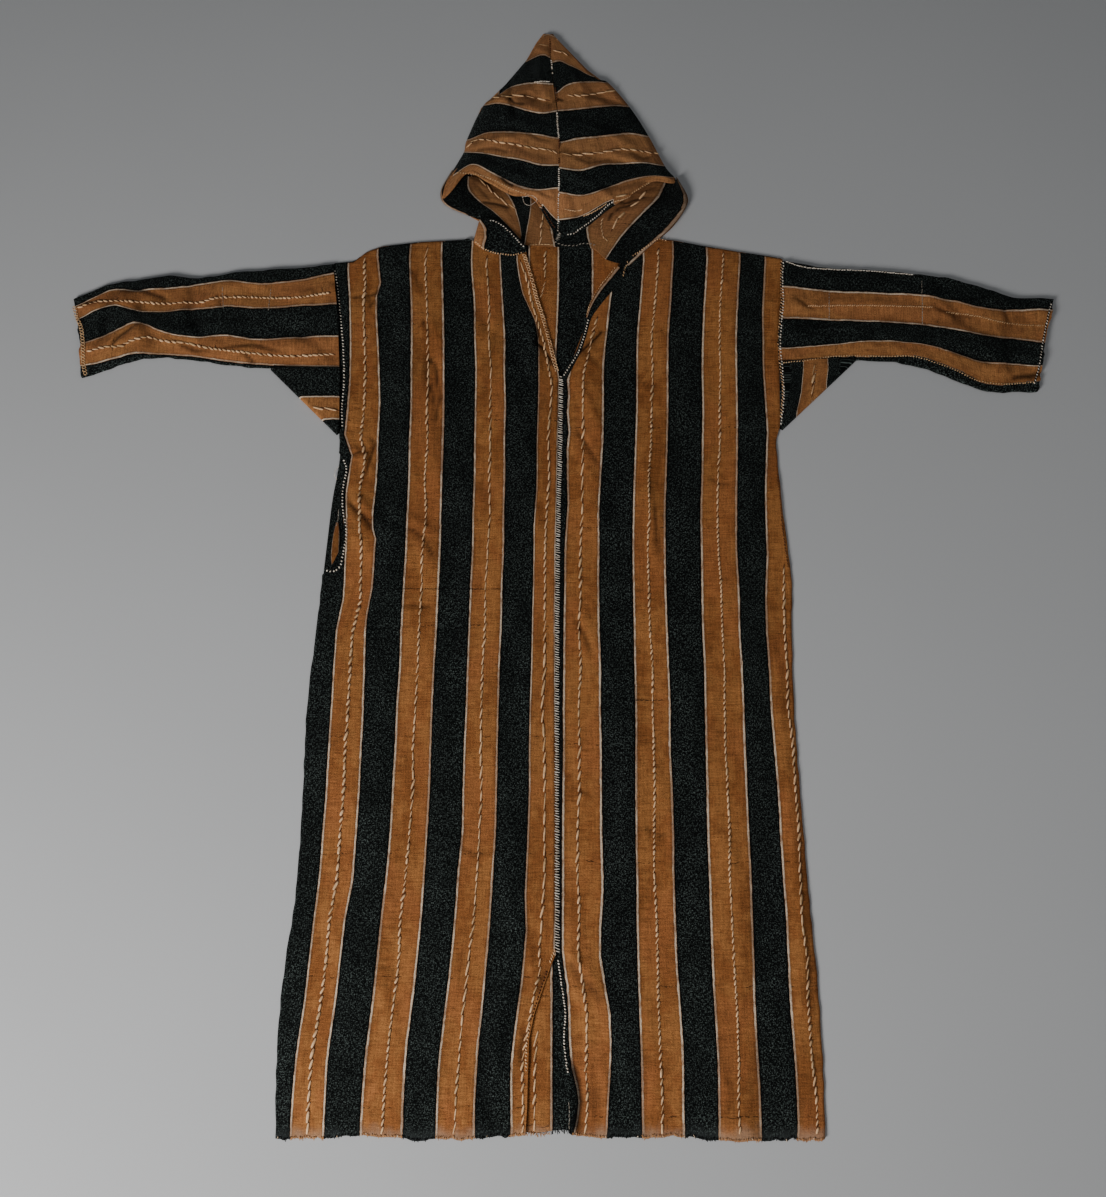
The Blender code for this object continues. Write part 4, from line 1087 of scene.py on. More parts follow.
def lay_maps(mesh, place):
    """Writes the weave's map and the bake's map from each corner's place on the grid."""
    weave = mesh.uv_layers[WEAVE_MAP]
    grid = np.empty(len(mesh.loops) * 2, np.float32)
    weave.uv.foreach_get("vector", grid)
    grid = grid.reshape(-1, 2).astype(float)
    band, run, crease_shade = place(grid[:, 0], grid[:, 1])[3:]
    weave.uv.foreach_set("vector", np.stack([band, run], 1).astype(np.float32).ravel())
    # painted shade: the depth in creases is kept for the weave to darken the colour by
    depth = mesh.attributes.new(CREASE_SHADE_MAP, "FLOAT", "CORNER")
    depth.data.foreach_set("value", unit(crease_shade).astype(np.float32))
    side = np.empty(len(mesh.polygons), np.int32)
    mesh.attributes["side"].data.foreach_get("value", side)
    counts = np.empty(len(mesh.polygons), np.int32)
    mesh.polygons.foreach_get("loop_total", counts)
    under = np.repeat(side, counts) == 1
    bake = mesh.uv_layers.new(name=BAKE_MAP)
    (outer, outer_run), (inner, inner_run), (low, high) = BAKE_OUTER, BAKE_INNER, BAKE_HEIGHT
    u = np.where(under, inner + inner_run * grid[:, 0], outer + outer_run * grid[:, 0])
    v = low + high * grid[:, 1]
    bake.uv.foreach_set("vector", np.stack([u, v], 1).astype(np.float32).ravel())
    mesh.uv_layers.active = weave
    weave.active_render = True
    for name in ("rank", "side"):
        mesh.attributes.remove(mesh.attributes[name])


def steps_for(width, length, step):
    """How many steps of a size in metres a width and a length in millimetres take."""
    return [max(2, int(round(run * MM / step))) for run in (width, length)]


# ---------------------------------------------------------------- fronts and back
def slide_of(y, side):
    return read(SLIDES, "y", side, y)


def front_edges(y, side):
    """Band edges of a front at a height."""
    bands = BANDS_LEFT if side == "left" else BANDS_RIGHT

    def edge(count, at):
        lean = NECK_LEAN * eased(at, 270.0, 440.0)
        own = 0.0
        if side == "left" and count >= len(bands) - 2:
            own = -lean
        if side == "right" and count < 2:
            own = 0.3 * lean
        return bands[count] + slide_of(at, side) + own

    return [edge(count, y) + wandering(WANDERING, side, count, lambda at: edge(count, at), y)
            for count in range(len(bands))]


def hem_line(x):
    return (HEM + 2.6 * np.sin(x / 61.0) + 1.5 * np.sin(x / 23.0 + 1.0) + 1.6 * waver(5, x, 9.0)
            + 1.2 * waver(6, x, 4.5) + 7.0 * np.exp(-((x + 45.0) / 62.0) ** 4))


def between_edges(across, along, left_at, right_at, low_at, top_at):
    """Place of a panel's points between its four edges, which depend on one another."""
    y = HEM + along * (SHOULDER - HEM)
    for _ in range(8):
        left, right = left_at(y), right_at(y)
        x = left + across * (right - left)
        low, top = low_at(x), top_at(x)
        y = low + along * (top - low)
    return x, y, left, right, low, top


def front_rise(x, y):
    """Relief of the fronts above the back."""
    deep, lips = grooves(BODY_GROOVES, x, y)
    return (relief(FOLDS, x, y, FOLD_RISE) + relief(CREASES, x, y, CREASE_RISE)
            - GROOVE_DEPTH * deep + 1.1 * lips
            + 0.8 * crumple(11, x, y * 0.45, 26.0) + 0.4 * crumple(12, x, y * 0.7, 11.0)
            + 0.6 * crumple(13, x, y, 70.0))


def front_place(side):
    sign = -1.0 if side == "left" else 1.0
    tops = TOP_LEFT if side == "left" else TOP_RIGHT

    def outer_at(y):
        inset = straight(HAND_SLIT, "y", "x", y) if side == "left" else 0.0
        return read(SIDES, "y", side, y) - sign * inset + 0.7 * waver(21, y, 16.0)

    def middle_at(y):
        return straight(MIDDLES, "y", side, y) + (0.3 if side == "right" else -0.1)

    left_at, right_at = (outer_at, middle_at) if side == "left" else (middle_at, outer_at)

    def place(across, along):
        across, along = crowded(across, 0.62), crowded(along, 0.35)
        x, y, left, right, low, top = between_edges(
            across, along, left_at, right_at, hem_line, lambda at: straight(tops, "x", "y", at))
        from_outer = np.abs(x - (left if side == "left" else right))
        from_middle = np.abs(x - (right if side == "left" else left))
        from_low, from_top = y - low, top - y
        slit = eased(y, *SLIT_LOW) * eased(y, *SLIT_HIGH) if side == "left" else 0.0 * y
        rest = BACK_TOP / MM + 2.3
        free = eased(np.minimum(from_middle, from_outer), 0.0, CALM_SIDE) * eased(from_low, 0.0, CALM_HEM)
        free *= eased(from_top, 0.0, CALM_SIDE)
        z = np.maximum(rest + free * front_rise(x, y), rest - 2.0)
        # the hem and the slits stand up a little and wander
        loose = np.exp(-from_low / 16.0)
        z += loose * (0.9 + 0.9 * waver(31, x, 34.0))
        z += np.exp(-from_middle / 7.0) * eased(y, *HEM_GAP) * (1.2 + 0.9 * waver(32, y, 30.0))
        z += np.exp(-from_outer / 6.0) * slit * (1.8 + 0.8 * waver(33, y, 22.0))
        sewn = eased(y, *SEAM_LOW) * eased(y, *SEAM_HIGH)
        z -= 0.8 * np.exp(-(from_middle / 2.6) ** 2) * sewn
        z += 0.9 * np.exp(-((from_middle - 7.0) / 4.5) ** 2) * eased(y, *SEAM_RIDGE)
        # the side and the shoulder roll down to the floor
        roll = unit(1.0 - from_outer / 5.0) * (1.0 - slit) * eased(y, *reversed(ARMHOLE))
        shoulder = unit(1.0 - from_top / 5.0) * eased(sign * x, 158, 166)
        for share in (roll, shoulder):
            z = 0.7 + (z - 0.7) * rounded(share)
        z -= np.exp(-(from_outer / 3.0) ** 2) * eased(y, *ARMHOLE)
        edges = front_edges(y, side)
        band = band_of(x + 0.8 * crumple(41, x, y * 0.5, 30.0), edges)
        # painted shade in the creases, and along the sewn seam between the fronts
        crease_shade = np.maximum(grooves(BODY_GROOVES, x, y)[0], troughs(CREASES, x, y))
        crease_shade = np.maximum(crease_shade, 0.85 * sewn * np.exp(-(from_middle / 6.0) ** 4))
        z = np.maximum(z, LOWEST_FRONT)
        return x, y, z, band, y * MM + CUT_AT[side], crease_shade

    return place


def back_place():
    def place(across, along):
        across, along = crowded(across, 0.4), crowded(along, 0.3)
        x, y = between_edges(
            across, along, lambda at: read(SIDES, "y", "left", at) + 2.0,
            lambda at: read(SIDES, "y", "right", at) - 2.0,
            lambda at: hem_line(at) + 2.5, lambda at: straight(TOP_BACK, "x", "y", at))[:2]
        z = BACK_TOP / MM + 0 * x
        shift = 6.0 * eased(y, 200.0, 420.0) - 5.0 * eased(y, 0.0, -700.0)
        return x, y, z, band_of(x - shift, BANDS_BACK), y * MM + CUT_AT["back"], 0 * x

    return place


class DJELLABA_OT_back(bpy.types.Operator):
    """Lay the back of the robe flat on the floor"""
    bl_idname = "djellaba.back"
    bl_label = "Back"

    def execute(self, context):
        step = context.scene.djellaba_sizes.back_step
        back = cloth("back_cloth", SLOT_BODY, wool_cloth("Body wool", True), steps_for(730, 1340, step),
                     back_place(), ["back_panel"])
        return {"FINISHED"}


class DJELLABA_OT_fronts(bpy.types.Operator):
    """Lay the two fronts, with their folds, on the back"""
    bl_idname = "djellaba.fronts"
    bl_label = "Fronts"

    def execute(self, context):
        step = context.scene.djellaba_sizes.front_step
        wool = wool_cloth("Body wool", True)
        for side, width in (("left", 368), ("right", 352)):
            front = cloth(f"front_{side}_cloth", SLOT_BODY, wool, steps_for(width, 1340, step),
                          front_place(side), [f"front_{side}"])
        edge = cloth("neck_edge_right", SLOT_BODY, wool, NECK_EDGE_FACES,
                     strip_place(NECK_EDGE, 5.6, neck_band, 0.0))
        turning = cloth("slit_turning", SLOT_BODY, wool, TURNING_FACES,
                        strip_place(SLIT_TURNING, 3.0, turning_band, 0.28), wall=TURNING_WALL)
        return {"FINISHED"}


def neck_band(across, y):
    """Black, with a cream line on its inner side in the upper half."""
    return np.where(y > 335.0, -1.09 + 0.36 * across, -0.90 + 0.33 * across)


def turning_band(across, y):
    """Brown between dark edges."""
    return -0.15 + 1.3 * across + 0 * y


def between_sides(table, at, share):
    """Place at a share of the way from the low to the high side of a table of lapel rows."""
    low, high = ([track(column(table, f"{axis}_{side}"), at) for axis in "xy"] for side in ("low", "high"))
    return [start + share * (end - start) for start, end in zip(low, high)]


def strip_place(table, low_height, band_at, shade):
    """A narrow turned edge between the inner and the outer line of a table."""
    def place(across, along):
        x, y = between_sides(table, along, across)
        z = low_height + 1.6 * rounded(2.0 * across - 1.0) + 0.4 * crumple(51, x, y, 14.0)
        band = band_at(across, y)
        x, y = to_eye(x, y, z)
        return x, y, z, band, along * 0.25 + CUT_AT["strip"], shade + 0 * x

    return place


# ---------------------------------------------------------------- sleeves and gussets
def ring_place(share, upper, under, height, rise):
    """Point of a flattened ring: round its upper edge, down its face, round its lower edge and
    back along the floor. Gives the place across, the height and the run past the lower edge."""
    turn, face = RING_TURN, RING_FACE
    bend, depth = height / 2.0, upper - under - height
    first = unit(share / turn)
    second = unit((share - turn) / face)
    third = unit((share - turn - face) / turn)
    fourth = unit((share - 2 * turn - face) / (1 - 2 * turn - face))
    start = np.pi * (first - 0.5)
    end = np.pi * (0.5 - third)
    parts = [share < turn, share < turn + face, share < 2 * turn + face]
    y = np.select(parts, [upper - bend + bend * np.cos(start), upper - bend - depth * second,
                          under + bend - bend * np.cos(end)], under + bend + depth * fourth)
    z = np.select(parts, [bend + bend * np.sin(start), height + rise * np.sin(np.pi * second) ** 0.6,
                          bend + bend * np.sin(end)], 0.0)
    return y, z, np.where(share > turn + face + turn / 2, y - under, 0.0)


def sleeve_place(table, side, lean, folds, sharp, seed):
    sign = -1.0 if side == "left" else 1.0
    last = table[-1].x

    def place(across, along):
        along = crowded(along, 0.3)
        x = table[0].x + along * (last - table[0].x)
        upper, under = read(table, "x", "upper", x), read(table, "x", "under", x)
        upper = upper + 1.3 * waver(seed, x, 15.0) * eased(along, 0.0, 0.1)
        under = under + 1.4 * waver(seed + 1, x, 13.0) * eased(along, 0.0, 0.1)
        y, _, _ = ring_place(across, upper, under, SLEEVE_HEIGHT, 0.0)
        seen_x = x
        near = unit(1.0 - along * 3.0)
        x = x + near * (straight(SIDES, "y", side, y) + sign * 0.5 - table[0].x)
        reach = unit(1.0 - abs(last - x) / CUFF_REACH)
        down = (upper - y) / (upper - under)
        x = x - sign * reach * (lean * down + CUFF_BOW * np.sin(np.pi * down))
        ragged = 1.2 * waver(seed + 2, y, 7.0) + 2.6 * waver(seed + 6, y, 24.0)
        x = x + sign * ragged * eased(along, 0.93, 1.0)
        rise = 2.2 + 1.0 * crumple(seed + 3, x, y, 60.0)
        y, z, back_run = ring_place(across, upper, under, SLEEVE_HEIGHT, rise)
        on_face = unit((z - SLEEVE_HEIGHT + 0.4) / 1.2)
        deep, lips = grooves(sharp, x, y)
        z = z + on_face * (relief(folds, x, y, SLEEVE_RISE) - GROOVE_DEPTH * deep + 0.8 * lips
                           + 1.1 * crumple(seed + 4, x, y, 22.0) + 0.55 * crumple(seed + 5, x, y, 9.0))
        z = z * (1.0 - 0.10 * np.exp(-abs(x - table[0].x) / 6.0) * on_face)
        # painted shade in the sharp creases and the hollow folds
        crease_shade = on_face * np.maximum(deep, troughs(folds, x, y))
        bands = [read(table, "x", name, seen_x) for name in ("first", "second", "third", "fourth")]
        clipped = np.maximum(y, under)
        last_band = SLEEVE_SEAM_BAND if side == "right" else 1.0
        edges = [-bands[0], -bands[1], -bands[2], -(bands[2] - (bands[2] - bands[3]) / last_band)]
        band = band_of(-clipped, edges)
        if side == "right":
            band = np.where(clipped < bands[3], 3.0 + SEAM_MARGIN + (bands[3] - clipped) / BAND, band)
        return x, y, np.maximum(z, 0.0), band + back_run / BAND, x * MM + CUT_AT["sleeve"], crease_shade

    return place


def gusset_place(gusset, sign, seed, horizontal):
    arm = np.array((gusset.arm_x, gusset.arm_y - GUSSET_SEAM))
    side = np.array((gusset.side_x + sign * GUSSET_SEAM, gusset.side_y))
    corner = np.array((gusset.corner_x + sign * GUSSET_SEAM, gusset.corner_y - GUSSET_SEAM))
    inward = corner - (arm + side) / 2.0
    inward /= np.linalg.norm(inward)
    bend, turn = GUSSET_HEIGHT / 2.0, GUSSET_TURN

    def place(across, along):
        along = 0.03 + 0.94 * along
        fold = arm[:, None] + (side - arm)[:, None] * along
        angle = np.pi * (unit((across - 0.5 + turn / 2) / turn) - 0.5)
        start = fold + inward[:, None] * (bend - bend * np.cos(angle))
        end = np.where(along < 0.5, arm[:, None] + (corner - arm)[:, None] * along * 2.0,
                       corner[:, None] + (side - corner)[:, None] * (along * 2.0 - 1.0))
        below = unit((0.5 - turn / 2 - across) / (0.5 - turn / 2))
        above = unit((across - 0.5 - turn / 2) / (0.5 - turn / 2))
        x, y = start + (end - start) * np.maximum(below, above)
        z = bend + bend * np.sin(angle)
        z = z + eased(above, 0.0, 0.4) * eased(above, 1.0, 0.6) * (1.2 + 0.8 * crumple(seed, x, y, 20.0))
        if horizontal:
            band, run = (194.0 - y) / np.where(y > 194.0, 52.0, 40.0), x * MM
        else:
            middle = straight(GUSSET_MIDDLE_RIGHT, "y", "x", y)
            band, run = np.maximum(0.985 * (1.0 - np.abs(x - middle) / 20.0), -0.9), y * MM
        return x, y, z, band, run + CUT_AT["gusset"], 0 * x

    return place


class DJELLABA_OT_sleeves(bpy.types.Operator):
    """Press both sleeves flat beside the body"""
    bl_idname = "djellaba.sleeves"
    bl_label = "Sleeves and gussets"

    def execute(self, context):
        step = context.scene.djellaba_sizes.fine_step
        wool = wool_cloth("Sleeve wool", paling=SLEEVE_PALING)
        for side, table, lean, folds, sharp, seed in (
                ("left", SLEEVE_LEFT, CUFF_LEAN_LEFT, SLEEVE_FOLDS_LEFT, SLEEVE_GROOVES_LEFT, 101),
                ("right", SLEEVE_RIGHT, CUFF_LEAN_RIGHT, SLEEVE_FOLDS_RIGHT, SLEEVE_GROOVES_RIGHT, 121)):
            sleeve = cloth(f"sleeve_{side}_cloth", SLOT_SLEEVE, wool, steps_for(370, 430, step),
                           sleeve_place(table, side, lean, folds, sharp, seed), [f"sleeve_{side}"],
                           ring=True)
        for side, table, sign, seed in (("left", GUSSET_LEFT, -1.0, 141), ("right", GUSSET_RIGHT, 1.0, 151)):
            gusset = cloth(f"gusset_{side}_cloth", SLOT_SLEEVE, wool, GUSSET_FACES,
                           gusset_place(table, sign, seed, side == "left"), [f"gusset_{side}"])
        return {"FINISHED"}


# ---------------------------------------------------------------- hood
def crown_place(table, side, rim_turn):
    """Half of the hood's upper layer: the flange inside its rim, the rolled rim, and its bands."""
    sign = -1.0 if side == "left" else 1.0
    bands = column(table, "band")
    flange, rolled = 0.05, 0.13

    def surface(share, band):
        def at_band(names):
            return np.stack([through(bands, column(table, name), band) for name in names])

        x_in, x_out = at_band(("x_in", "x_out"))
        x = x_in + share * (x_out - x_in)
        y = stations(at_band([f"y{count}" for count in range(6)]), share)
        z = stations(at_band(("z_in", "z_mid", "z_out")), share)
        deep, lips = grooves(CROWN_GROOVES, x, y)
        z = z + eased(share, 0.0, 0.08) * (
            relief(CROWN_FOLDS, x, y, CROWN_RISE) - 1.6 * deep + 0.8 * lips
            + 0.7 * crumple(61, x, y, 16.0) + 0.35 * crumple(62, x, y, 7.0))
        z = z - 1.6 * np.exp(-(share * (x_out - x_in) / 5.0) ** 2)
        out = unit((share - 0.90) / 0.10)
        z = 0.8 + (z - 0.8) * rounded(out)
        # painted shade in the sharp creases and the hollow folds of the crown
        return x, y, z, np.maximum(deep, troughs(CROWN_FOLDS, x, y))

    def place(across, along):
        across = across ** 0.85
        band = unit((along - rolled) / (1.0 - rolled)) * bands[-1]
        x, y, z, crease_shade = surface(across, band)
        ahead_x, ahead_y = surface(unit(across + 0.02), band)[:2]
        behind_x, behind_y = surface(unit(across - 0.02), band)[:2]
        run_x, run_y = ahead_x - behind_x, ahead_y - behind_y
        length = np.hypot(run_x, run_y) + 1e-9
        out_x, out_y = sign * run_y / length, -sign * run_x / length
        angle = np.pi * unit((rolled - along) / (rolled - flange))
        thin = np.sqrt(1.0 - eased(across, 0.88, 1.0))
        back = RIM_FLANGE * thin * unit((flange - along) / flange)
        radius = RIM_ROLL * thin * np.clip(z / 12.0, 0.15, 1.0)
        x = x + out_x * (radius * np.sin(angle) - back)
        y = y + out_y * (radius * np.sin(angle) - back)
        z = np.maximum(z - radius * (1.0 - np.cos(angle)), 0.6)
        rim = rim_turn.near + (rim_turn.far - rim_turn.near) * eased(across, rim_turn.starts, rim_turn.ends)
        first = np.maximum(rim, 0.0)
        place_in = np.where(band < 1.0, rim + (first - rim) * band,
                            np.where(band < 2.0, first + (1.0 - first) * (band - 1.0), band - 1.0))
        x, y = to_eye(x, y, z)
        tuck = (radius * angle + back) / BAND
        return x, y, z, place_in - tuck, across * sign * 0.2 + CUT_AT["crown"], crease_shade * (along > rolled)

    return place


X_NAMES, Y_NAMES = ([f"{axis}{count}" for count in range(6)] for axis in "xy")


def inside_place():
    """The hood's lower layer and its turned sides, as they show through the opening for the face."""
    marks = np.linspace(0.0, 1.0, len(INSIDE))

    def place(across, along):
        def seen(names):
            edges = [track([getattr(row, name) for name in names], along) for row in INSIDE]
            return stations(np.stack(edges), across)

        x, y, z = (seen(names) for names in (X_NAMES, Y_NAMES, ("z_neck", "z_mid", "z_top")))
        low, high = (np.interp(across, marks, column(INSIDE, name)) for name in ("band", "upper"))
        band = low + (high - low) * eased(along, 0.40, 0.50)
        soft = eased(across, 0.12, 0.2) * eased(across, 0.88, 0.8)
        deep, lips = grooves(INSIDE_GROOVES, x, y)
        z = z + soft * (relief(INSIDE_FOLDS, x, y, 1.2) - deep + lips + 0.4 * crumple(71, x, y, 15.0))
        z = np.maximum(z, 2.6)
        # daylight barely reaches up under the crown
        crease_shade = np.maximum(deep, 0.25 + 0.35 * eased(along, 0.45, 0.9))
        x, y = to_eye(x, y, z)
        return x, y, z, band, along * 0.16 + CUT_AT["inside"], crease_shade

    return place


def lapel_place():
    def place(across, along):
        x, y = between_sides(LAPEL, across, along)
        z = 6.4 + 4.6 * np.sin(np.pi * unit(along) * 0.62) + 0.7 * crumple(81, x, y, 16.0)
        z = z - 2.2 * unit((along - 0.86) / 0.14) ** 2 - 1.6 * (1.0 - unit(along / 0.1)) ** 2
        z = np.where(across < 0.08, 1.0 + (z - 1.0) * rounded(1.0 - across / 0.08), z)
        band = 1.0 + (x - straight(LAPEL_BAND_EDGE, "y", "x", y)) / 74.0
        x, y = to_eye(x, y, z)
        return x, y, z, band, y * MM + CUT_AT["lapel"], 0 * x

    return place


def hood_back_place():
    def place(across, along):
        y = HOOD_BACK[0].y + along * (HOOD_BACK[-1].y - HOOD_BACK[0].y)
        left, right = straight(HOOD_BACK, "y", "left", y), straight(HOOD_BACK, "y", "right", y)
        x = left + across * (right - left)
        z = BACK_TOP / MM + 0 * x
        return x, y, z, band_of(x, BANDS_BACK), y * MM + CUT_AT["hood_back"], 0 * x

    return place


class DJELLABA_OT_hood(bpy.types.Operator):
    """Lay the hood: its lower layer, its inside, the two halves of its crown and its lapel"""
    bl_idname = "djellaba.hood"
    bl_label = "Hood"

    def execute(self, context):
        step = context.scene.djellaba_sizes.fine_step * 0.8
        wool = wool_cloth("Hood wool", paling=HOOD_PALING)
        back = cloth("hood_back", SLOT_HOOD, wool, HOOD_BACK_FACES, hood_back_place(), ["hood"])
        inside = cloth("hood_inside", SLOT_HOOD, wool, steps_for(470, 200, step), inside_place(),
                       wall=INSIDE_WALL)
        for side, table, rim_turn in (("left", CROWN_LEFT, RIM_LEFT), ("right", CROWN_RIGHT, RIM_RIGHT)):
            crown = cloth(f"hood_crown_{side}", SLOT_HOOD, wool, steps_for(210, 470, step),
                          crown_place(table, side, rim_turn), wall=CROWN_WALL)
        lapel = cloth("hood_lapel", SLOT_HOOD, wool, LAPEL_FACES, lapel_place(), wall=CROWN_WALL)
        return {"FINISHED"}


# ---------------------------------------------------------------- yarns and stitches
class Touch:
    """Finds where a point that the eye sees on the floor lies on the finished cloth."""

    def __init__(self):
        verts, faces = [], []
        for piece in bpy.data.objects:
            if piece.type == "MESH" and "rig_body" in piece and "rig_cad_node" not in piece:
                start = len(verts)
                verts += [tuple(vert.co) for vert in piece.data.vertices]
                faces += [tuple(start + corner for corner in face.vertices) for face in piece.data.polygons]
        self.tree = BVHTree.FromPolygons(verts, faces)

    def points(self, spots):
        """Places and upward normals of the spots, in metres."""
        eye = EYE * MM
        found, normals = [], []
        for x, y in spots:
            ray = Vector((x * MM, y * MM, 0.0)) - eye
            hit, normal, _, _ = self.tree.ray_cast(eye, ray.normalized())
            if hit is None:
                hit, normal = eye + ray * 0.998, Vector((0.0, 0.0, 1.0))
            if normal.dot(ray) > 0.0:
                normal = -normal
            found.append(hit)
            normals.append(normal)
        return np.array(found), np.array(normals)


@cache
def touch():
    """The finished cloth, gathered once."""
    return Touch()


def walk(points, steps):
    """Places and directions at the given distances along a smooth line through the points."""
    points = np.array(points, float)
    gaps = np.hypot(*np.diff(points, axis=0).T)
    at = np.concatenate([[0.0], np.cumsum(gaps)])
    steps = np.asarray(steps, float)
    place = np.stack([through(at, points[:, k], steps) for k in (0, 1)], 1)
    ahead = np.stack([through(at, points[:, k], steps + 1.0) for k in (0, 1)], 1)
    behind = np.stack([through(at, points[:, k], steps - 1.0) for k in (0, 1)], 1)
    run = ahead - behind
    return place, run / np.maximum(np.hypot(*run.T), 1e-9)[:, None]


def line_length(points):
    return float(np.hypot(*np.diff(np.array(points, float), axis=0).T).sum())


def turned(run, degrees):
    angle = np.radians(degrees)
    return np.stack([run[:, 0] * np.cos(angle) - run[:, 1] * np.sin(angle),
                     run[:, 0] * np.sin(angle) + run[:, 1] * np.cos(angle)], 1)


BLUNT = 0.68                 # below 1, the ends of a stroke of thread are blunter than a bead's


def bead_shape(sides, rings):
    """Corners and faces of one small blunt bead, to be repeated."""
    shape = bmesh.new()
    bmesh.ops.create_uvsphere(shape, u_segments=sides, v_segments=rings, radius=1.0)
    corners = np.array([vert.co[:] for vert in shape.verts])
    wide = np.hypot(corners[:, 0], corners[:, 1])
    corners[:, :2] *= (np.maximum(wide, 1e-6) ** (BLUNT - 1.0))[:, None]
    faces = [[vert.index for vert in face.verts] for face in shape.faces]
    shape.free()
    return corners, faces


def strokes(name, slot, material, spots, runs, length, width, height, sink=0.25, sides=6, rings=5):
    """Many small strokes of thread as one joined mesh: an array of beads stretched along their runs."""
    corners, faces = bead_shape(sides, rings)
    half = np.asarray(length, float)[:, None] / 2.0
    middle, up = touch().points(spots)
    first, last = (touch().points(spots + way * runs * half * 0.8)[0] for way in (-1.0, 1.0))
    middle[:, 2] = np.maximum(middle[:, 2], np.minimum(first[:, 2], last[:, 2]))
    along = last - first
    flat = np.concatenate([runs, np.zeros((len(runs), 1))], 1)
    level = np.hypot(along[:, 0], along[:, 1])
    steep = (np.abs(along[:, 2]) > 0.7 * level) | (level < 1e-6)
    along[steep] = flat[steep]
    along /= np.maximum(np.linalg.norm(along, axis=1), 1e-9)[:, None]
    aside = np.cross(up, along)
    aside /= np.maximum(np.linalg.norm(aside, axis=1), 1e-9)[:, None]
    up = np.cross(along, aside)
    thick = np.asarray(height, float)[:, None] / 2.0
    middle = middle + up * thick * MM * (1.0 - 2.0 * sink)
    sizes = np.stack([half[:, 0], np.asarray(width, float) / 2.0, thick[:, 0]], 1) * MM
    placed = (middle[:, None] + (corners[None, :, 2] * sizes[:, :1])[..., None] * along[:, None]
              + (corners[None, :, 1] * sizes[:, 1:2])[..., None] * aside[:, None]
              + (corners[None, :, 0] * sizes[:, 2:])[..., None] * up[:, None])
    placed[..., 2] = np.maximum(placed[..., 2], 0.0003)
    count = len(corners)
    mesh = bpy.data.meshes.new(name)
    joined = [[corner + start for corner in face]
              for start in range(0, len(middle) * count, count) for face in faces]
    mesh.from_pydata(placed.reshape(-1, 3).tolist(), [], joined)
    mesh.materials.append(material)
    mesh.shade_smooth()
    return show(name, mesh, slot)


def body_yarn_points(yarn):
    """The line of a body yarn from the hem to the shoulder, at its place in the bands."""
    side, band = yarn.front, yarn.band
    tops = TOP_LEFT if side == "left" else TOP_RIGHT
    low = int(np.floor(band))
    seed = 91 + int(band * 10) + (50 if side == "right" else 0)

    def line(at):
        edges = front_edges(at, side)
        return edges[low] + (band - low) * (edges[low + 1] - edges[low]) + YARN_WANDER * waver(seed, at, 60.0)

    y = np.arange(HEM + 4.0, 480.0, 6.0)
    x = line(y) + wandering(WANDERING_YARNS, side, band, line, y)
    middle = straight(MIDDLES, "y", side, y)
    outer = read(SIDES, "y", side, y) + (straight(HAND_SLIT, "y", "x", y) if side == "left" else 0.0)
    ok = (y < straight(tops, "x", "y", x) - 3.0) & (y < yarn.top)
    ok &= (x < middle - 3.0) & (x > outer + 3.0) if side == "left" else (x > middle + 4.0)
    if side == "right":
        x = np.minimum(x, outer - 3.0)
    return [(float(a), float(b)) for a, b, keep in zip(x, y, ok) if keep]


def yarn_turns(yarn, rng):
    """Where each turn of a twisted yarn lies: its middle along the line, and its length."""
    total = line_length(yarn.points)
    at, middles, lengths = 0.0, [], []
    mood = rng.uniform(0.0, 1.0)
    while at < total:
        mood = float(unit(mood + rng.normal(0.0, 0.16)))
        turn = yarn.short + (yarn.long - yarn.short) * mood * rng.uniform(*TURN_SHARES)
        if at + turn > total + 0.3 * turn:
            break
        middles.append(at + turn / 2.0)
        lengths.append(turn)
        at += turn
    return np.array(middles), np.array(lengths)


def twisted(yarn, rng):
    """Strokes of one yarn, each group as places, runs, lengths and widths: its pale turns, its dull
    turns and the dark ply that shows between them."""
    middles, lengths = yarn_turns(yarn, rng)
    count = len(lengths)
    spots, runs = walk(yarn.points, middles)
    steep = SLEEVE_STEEP if yarn.piece.startswith("sleeve") else BODY_STEEP
    tilt = -np.degrees(np.arctan(yarn.width * steep / lengths))
    tilt = tilt * rng.uniform(*TILT_SHARES, count) + rng.normal(0.0, TILT_SPREAD, count)
    wide = yarn.width * rng.uniform(*WIDTH_SHARES, count)
    wide = np.where(rng.uniform(size=count) < THIN_SHARE, wide * 0.6, wide)
    turns = (spots, turned(runs, tilt), lengths * rng.uniform(*REACH_SHARES, count), wide)
    light = rng.uniform(size=count) > DULL_SHARE
    pale, dull = ([part[chosen] for part in turns] for chosen in (light, ~light))
    spots, runs = walk(yarn.points, middles + lengths / 2.0)
    reach = lengths * rng.uniform(*PLY_SHARES, count)
    return pale, dull, (spots, turned(runs, tilt * 1.5), reach, wide * PLY_WIDTH)


def joined_groups(groups):
    """Groups of strokes, joined into one set of places, runs, lengths and widths."""
    return [np.concatenate(parts) for parts in zip(*groups)]


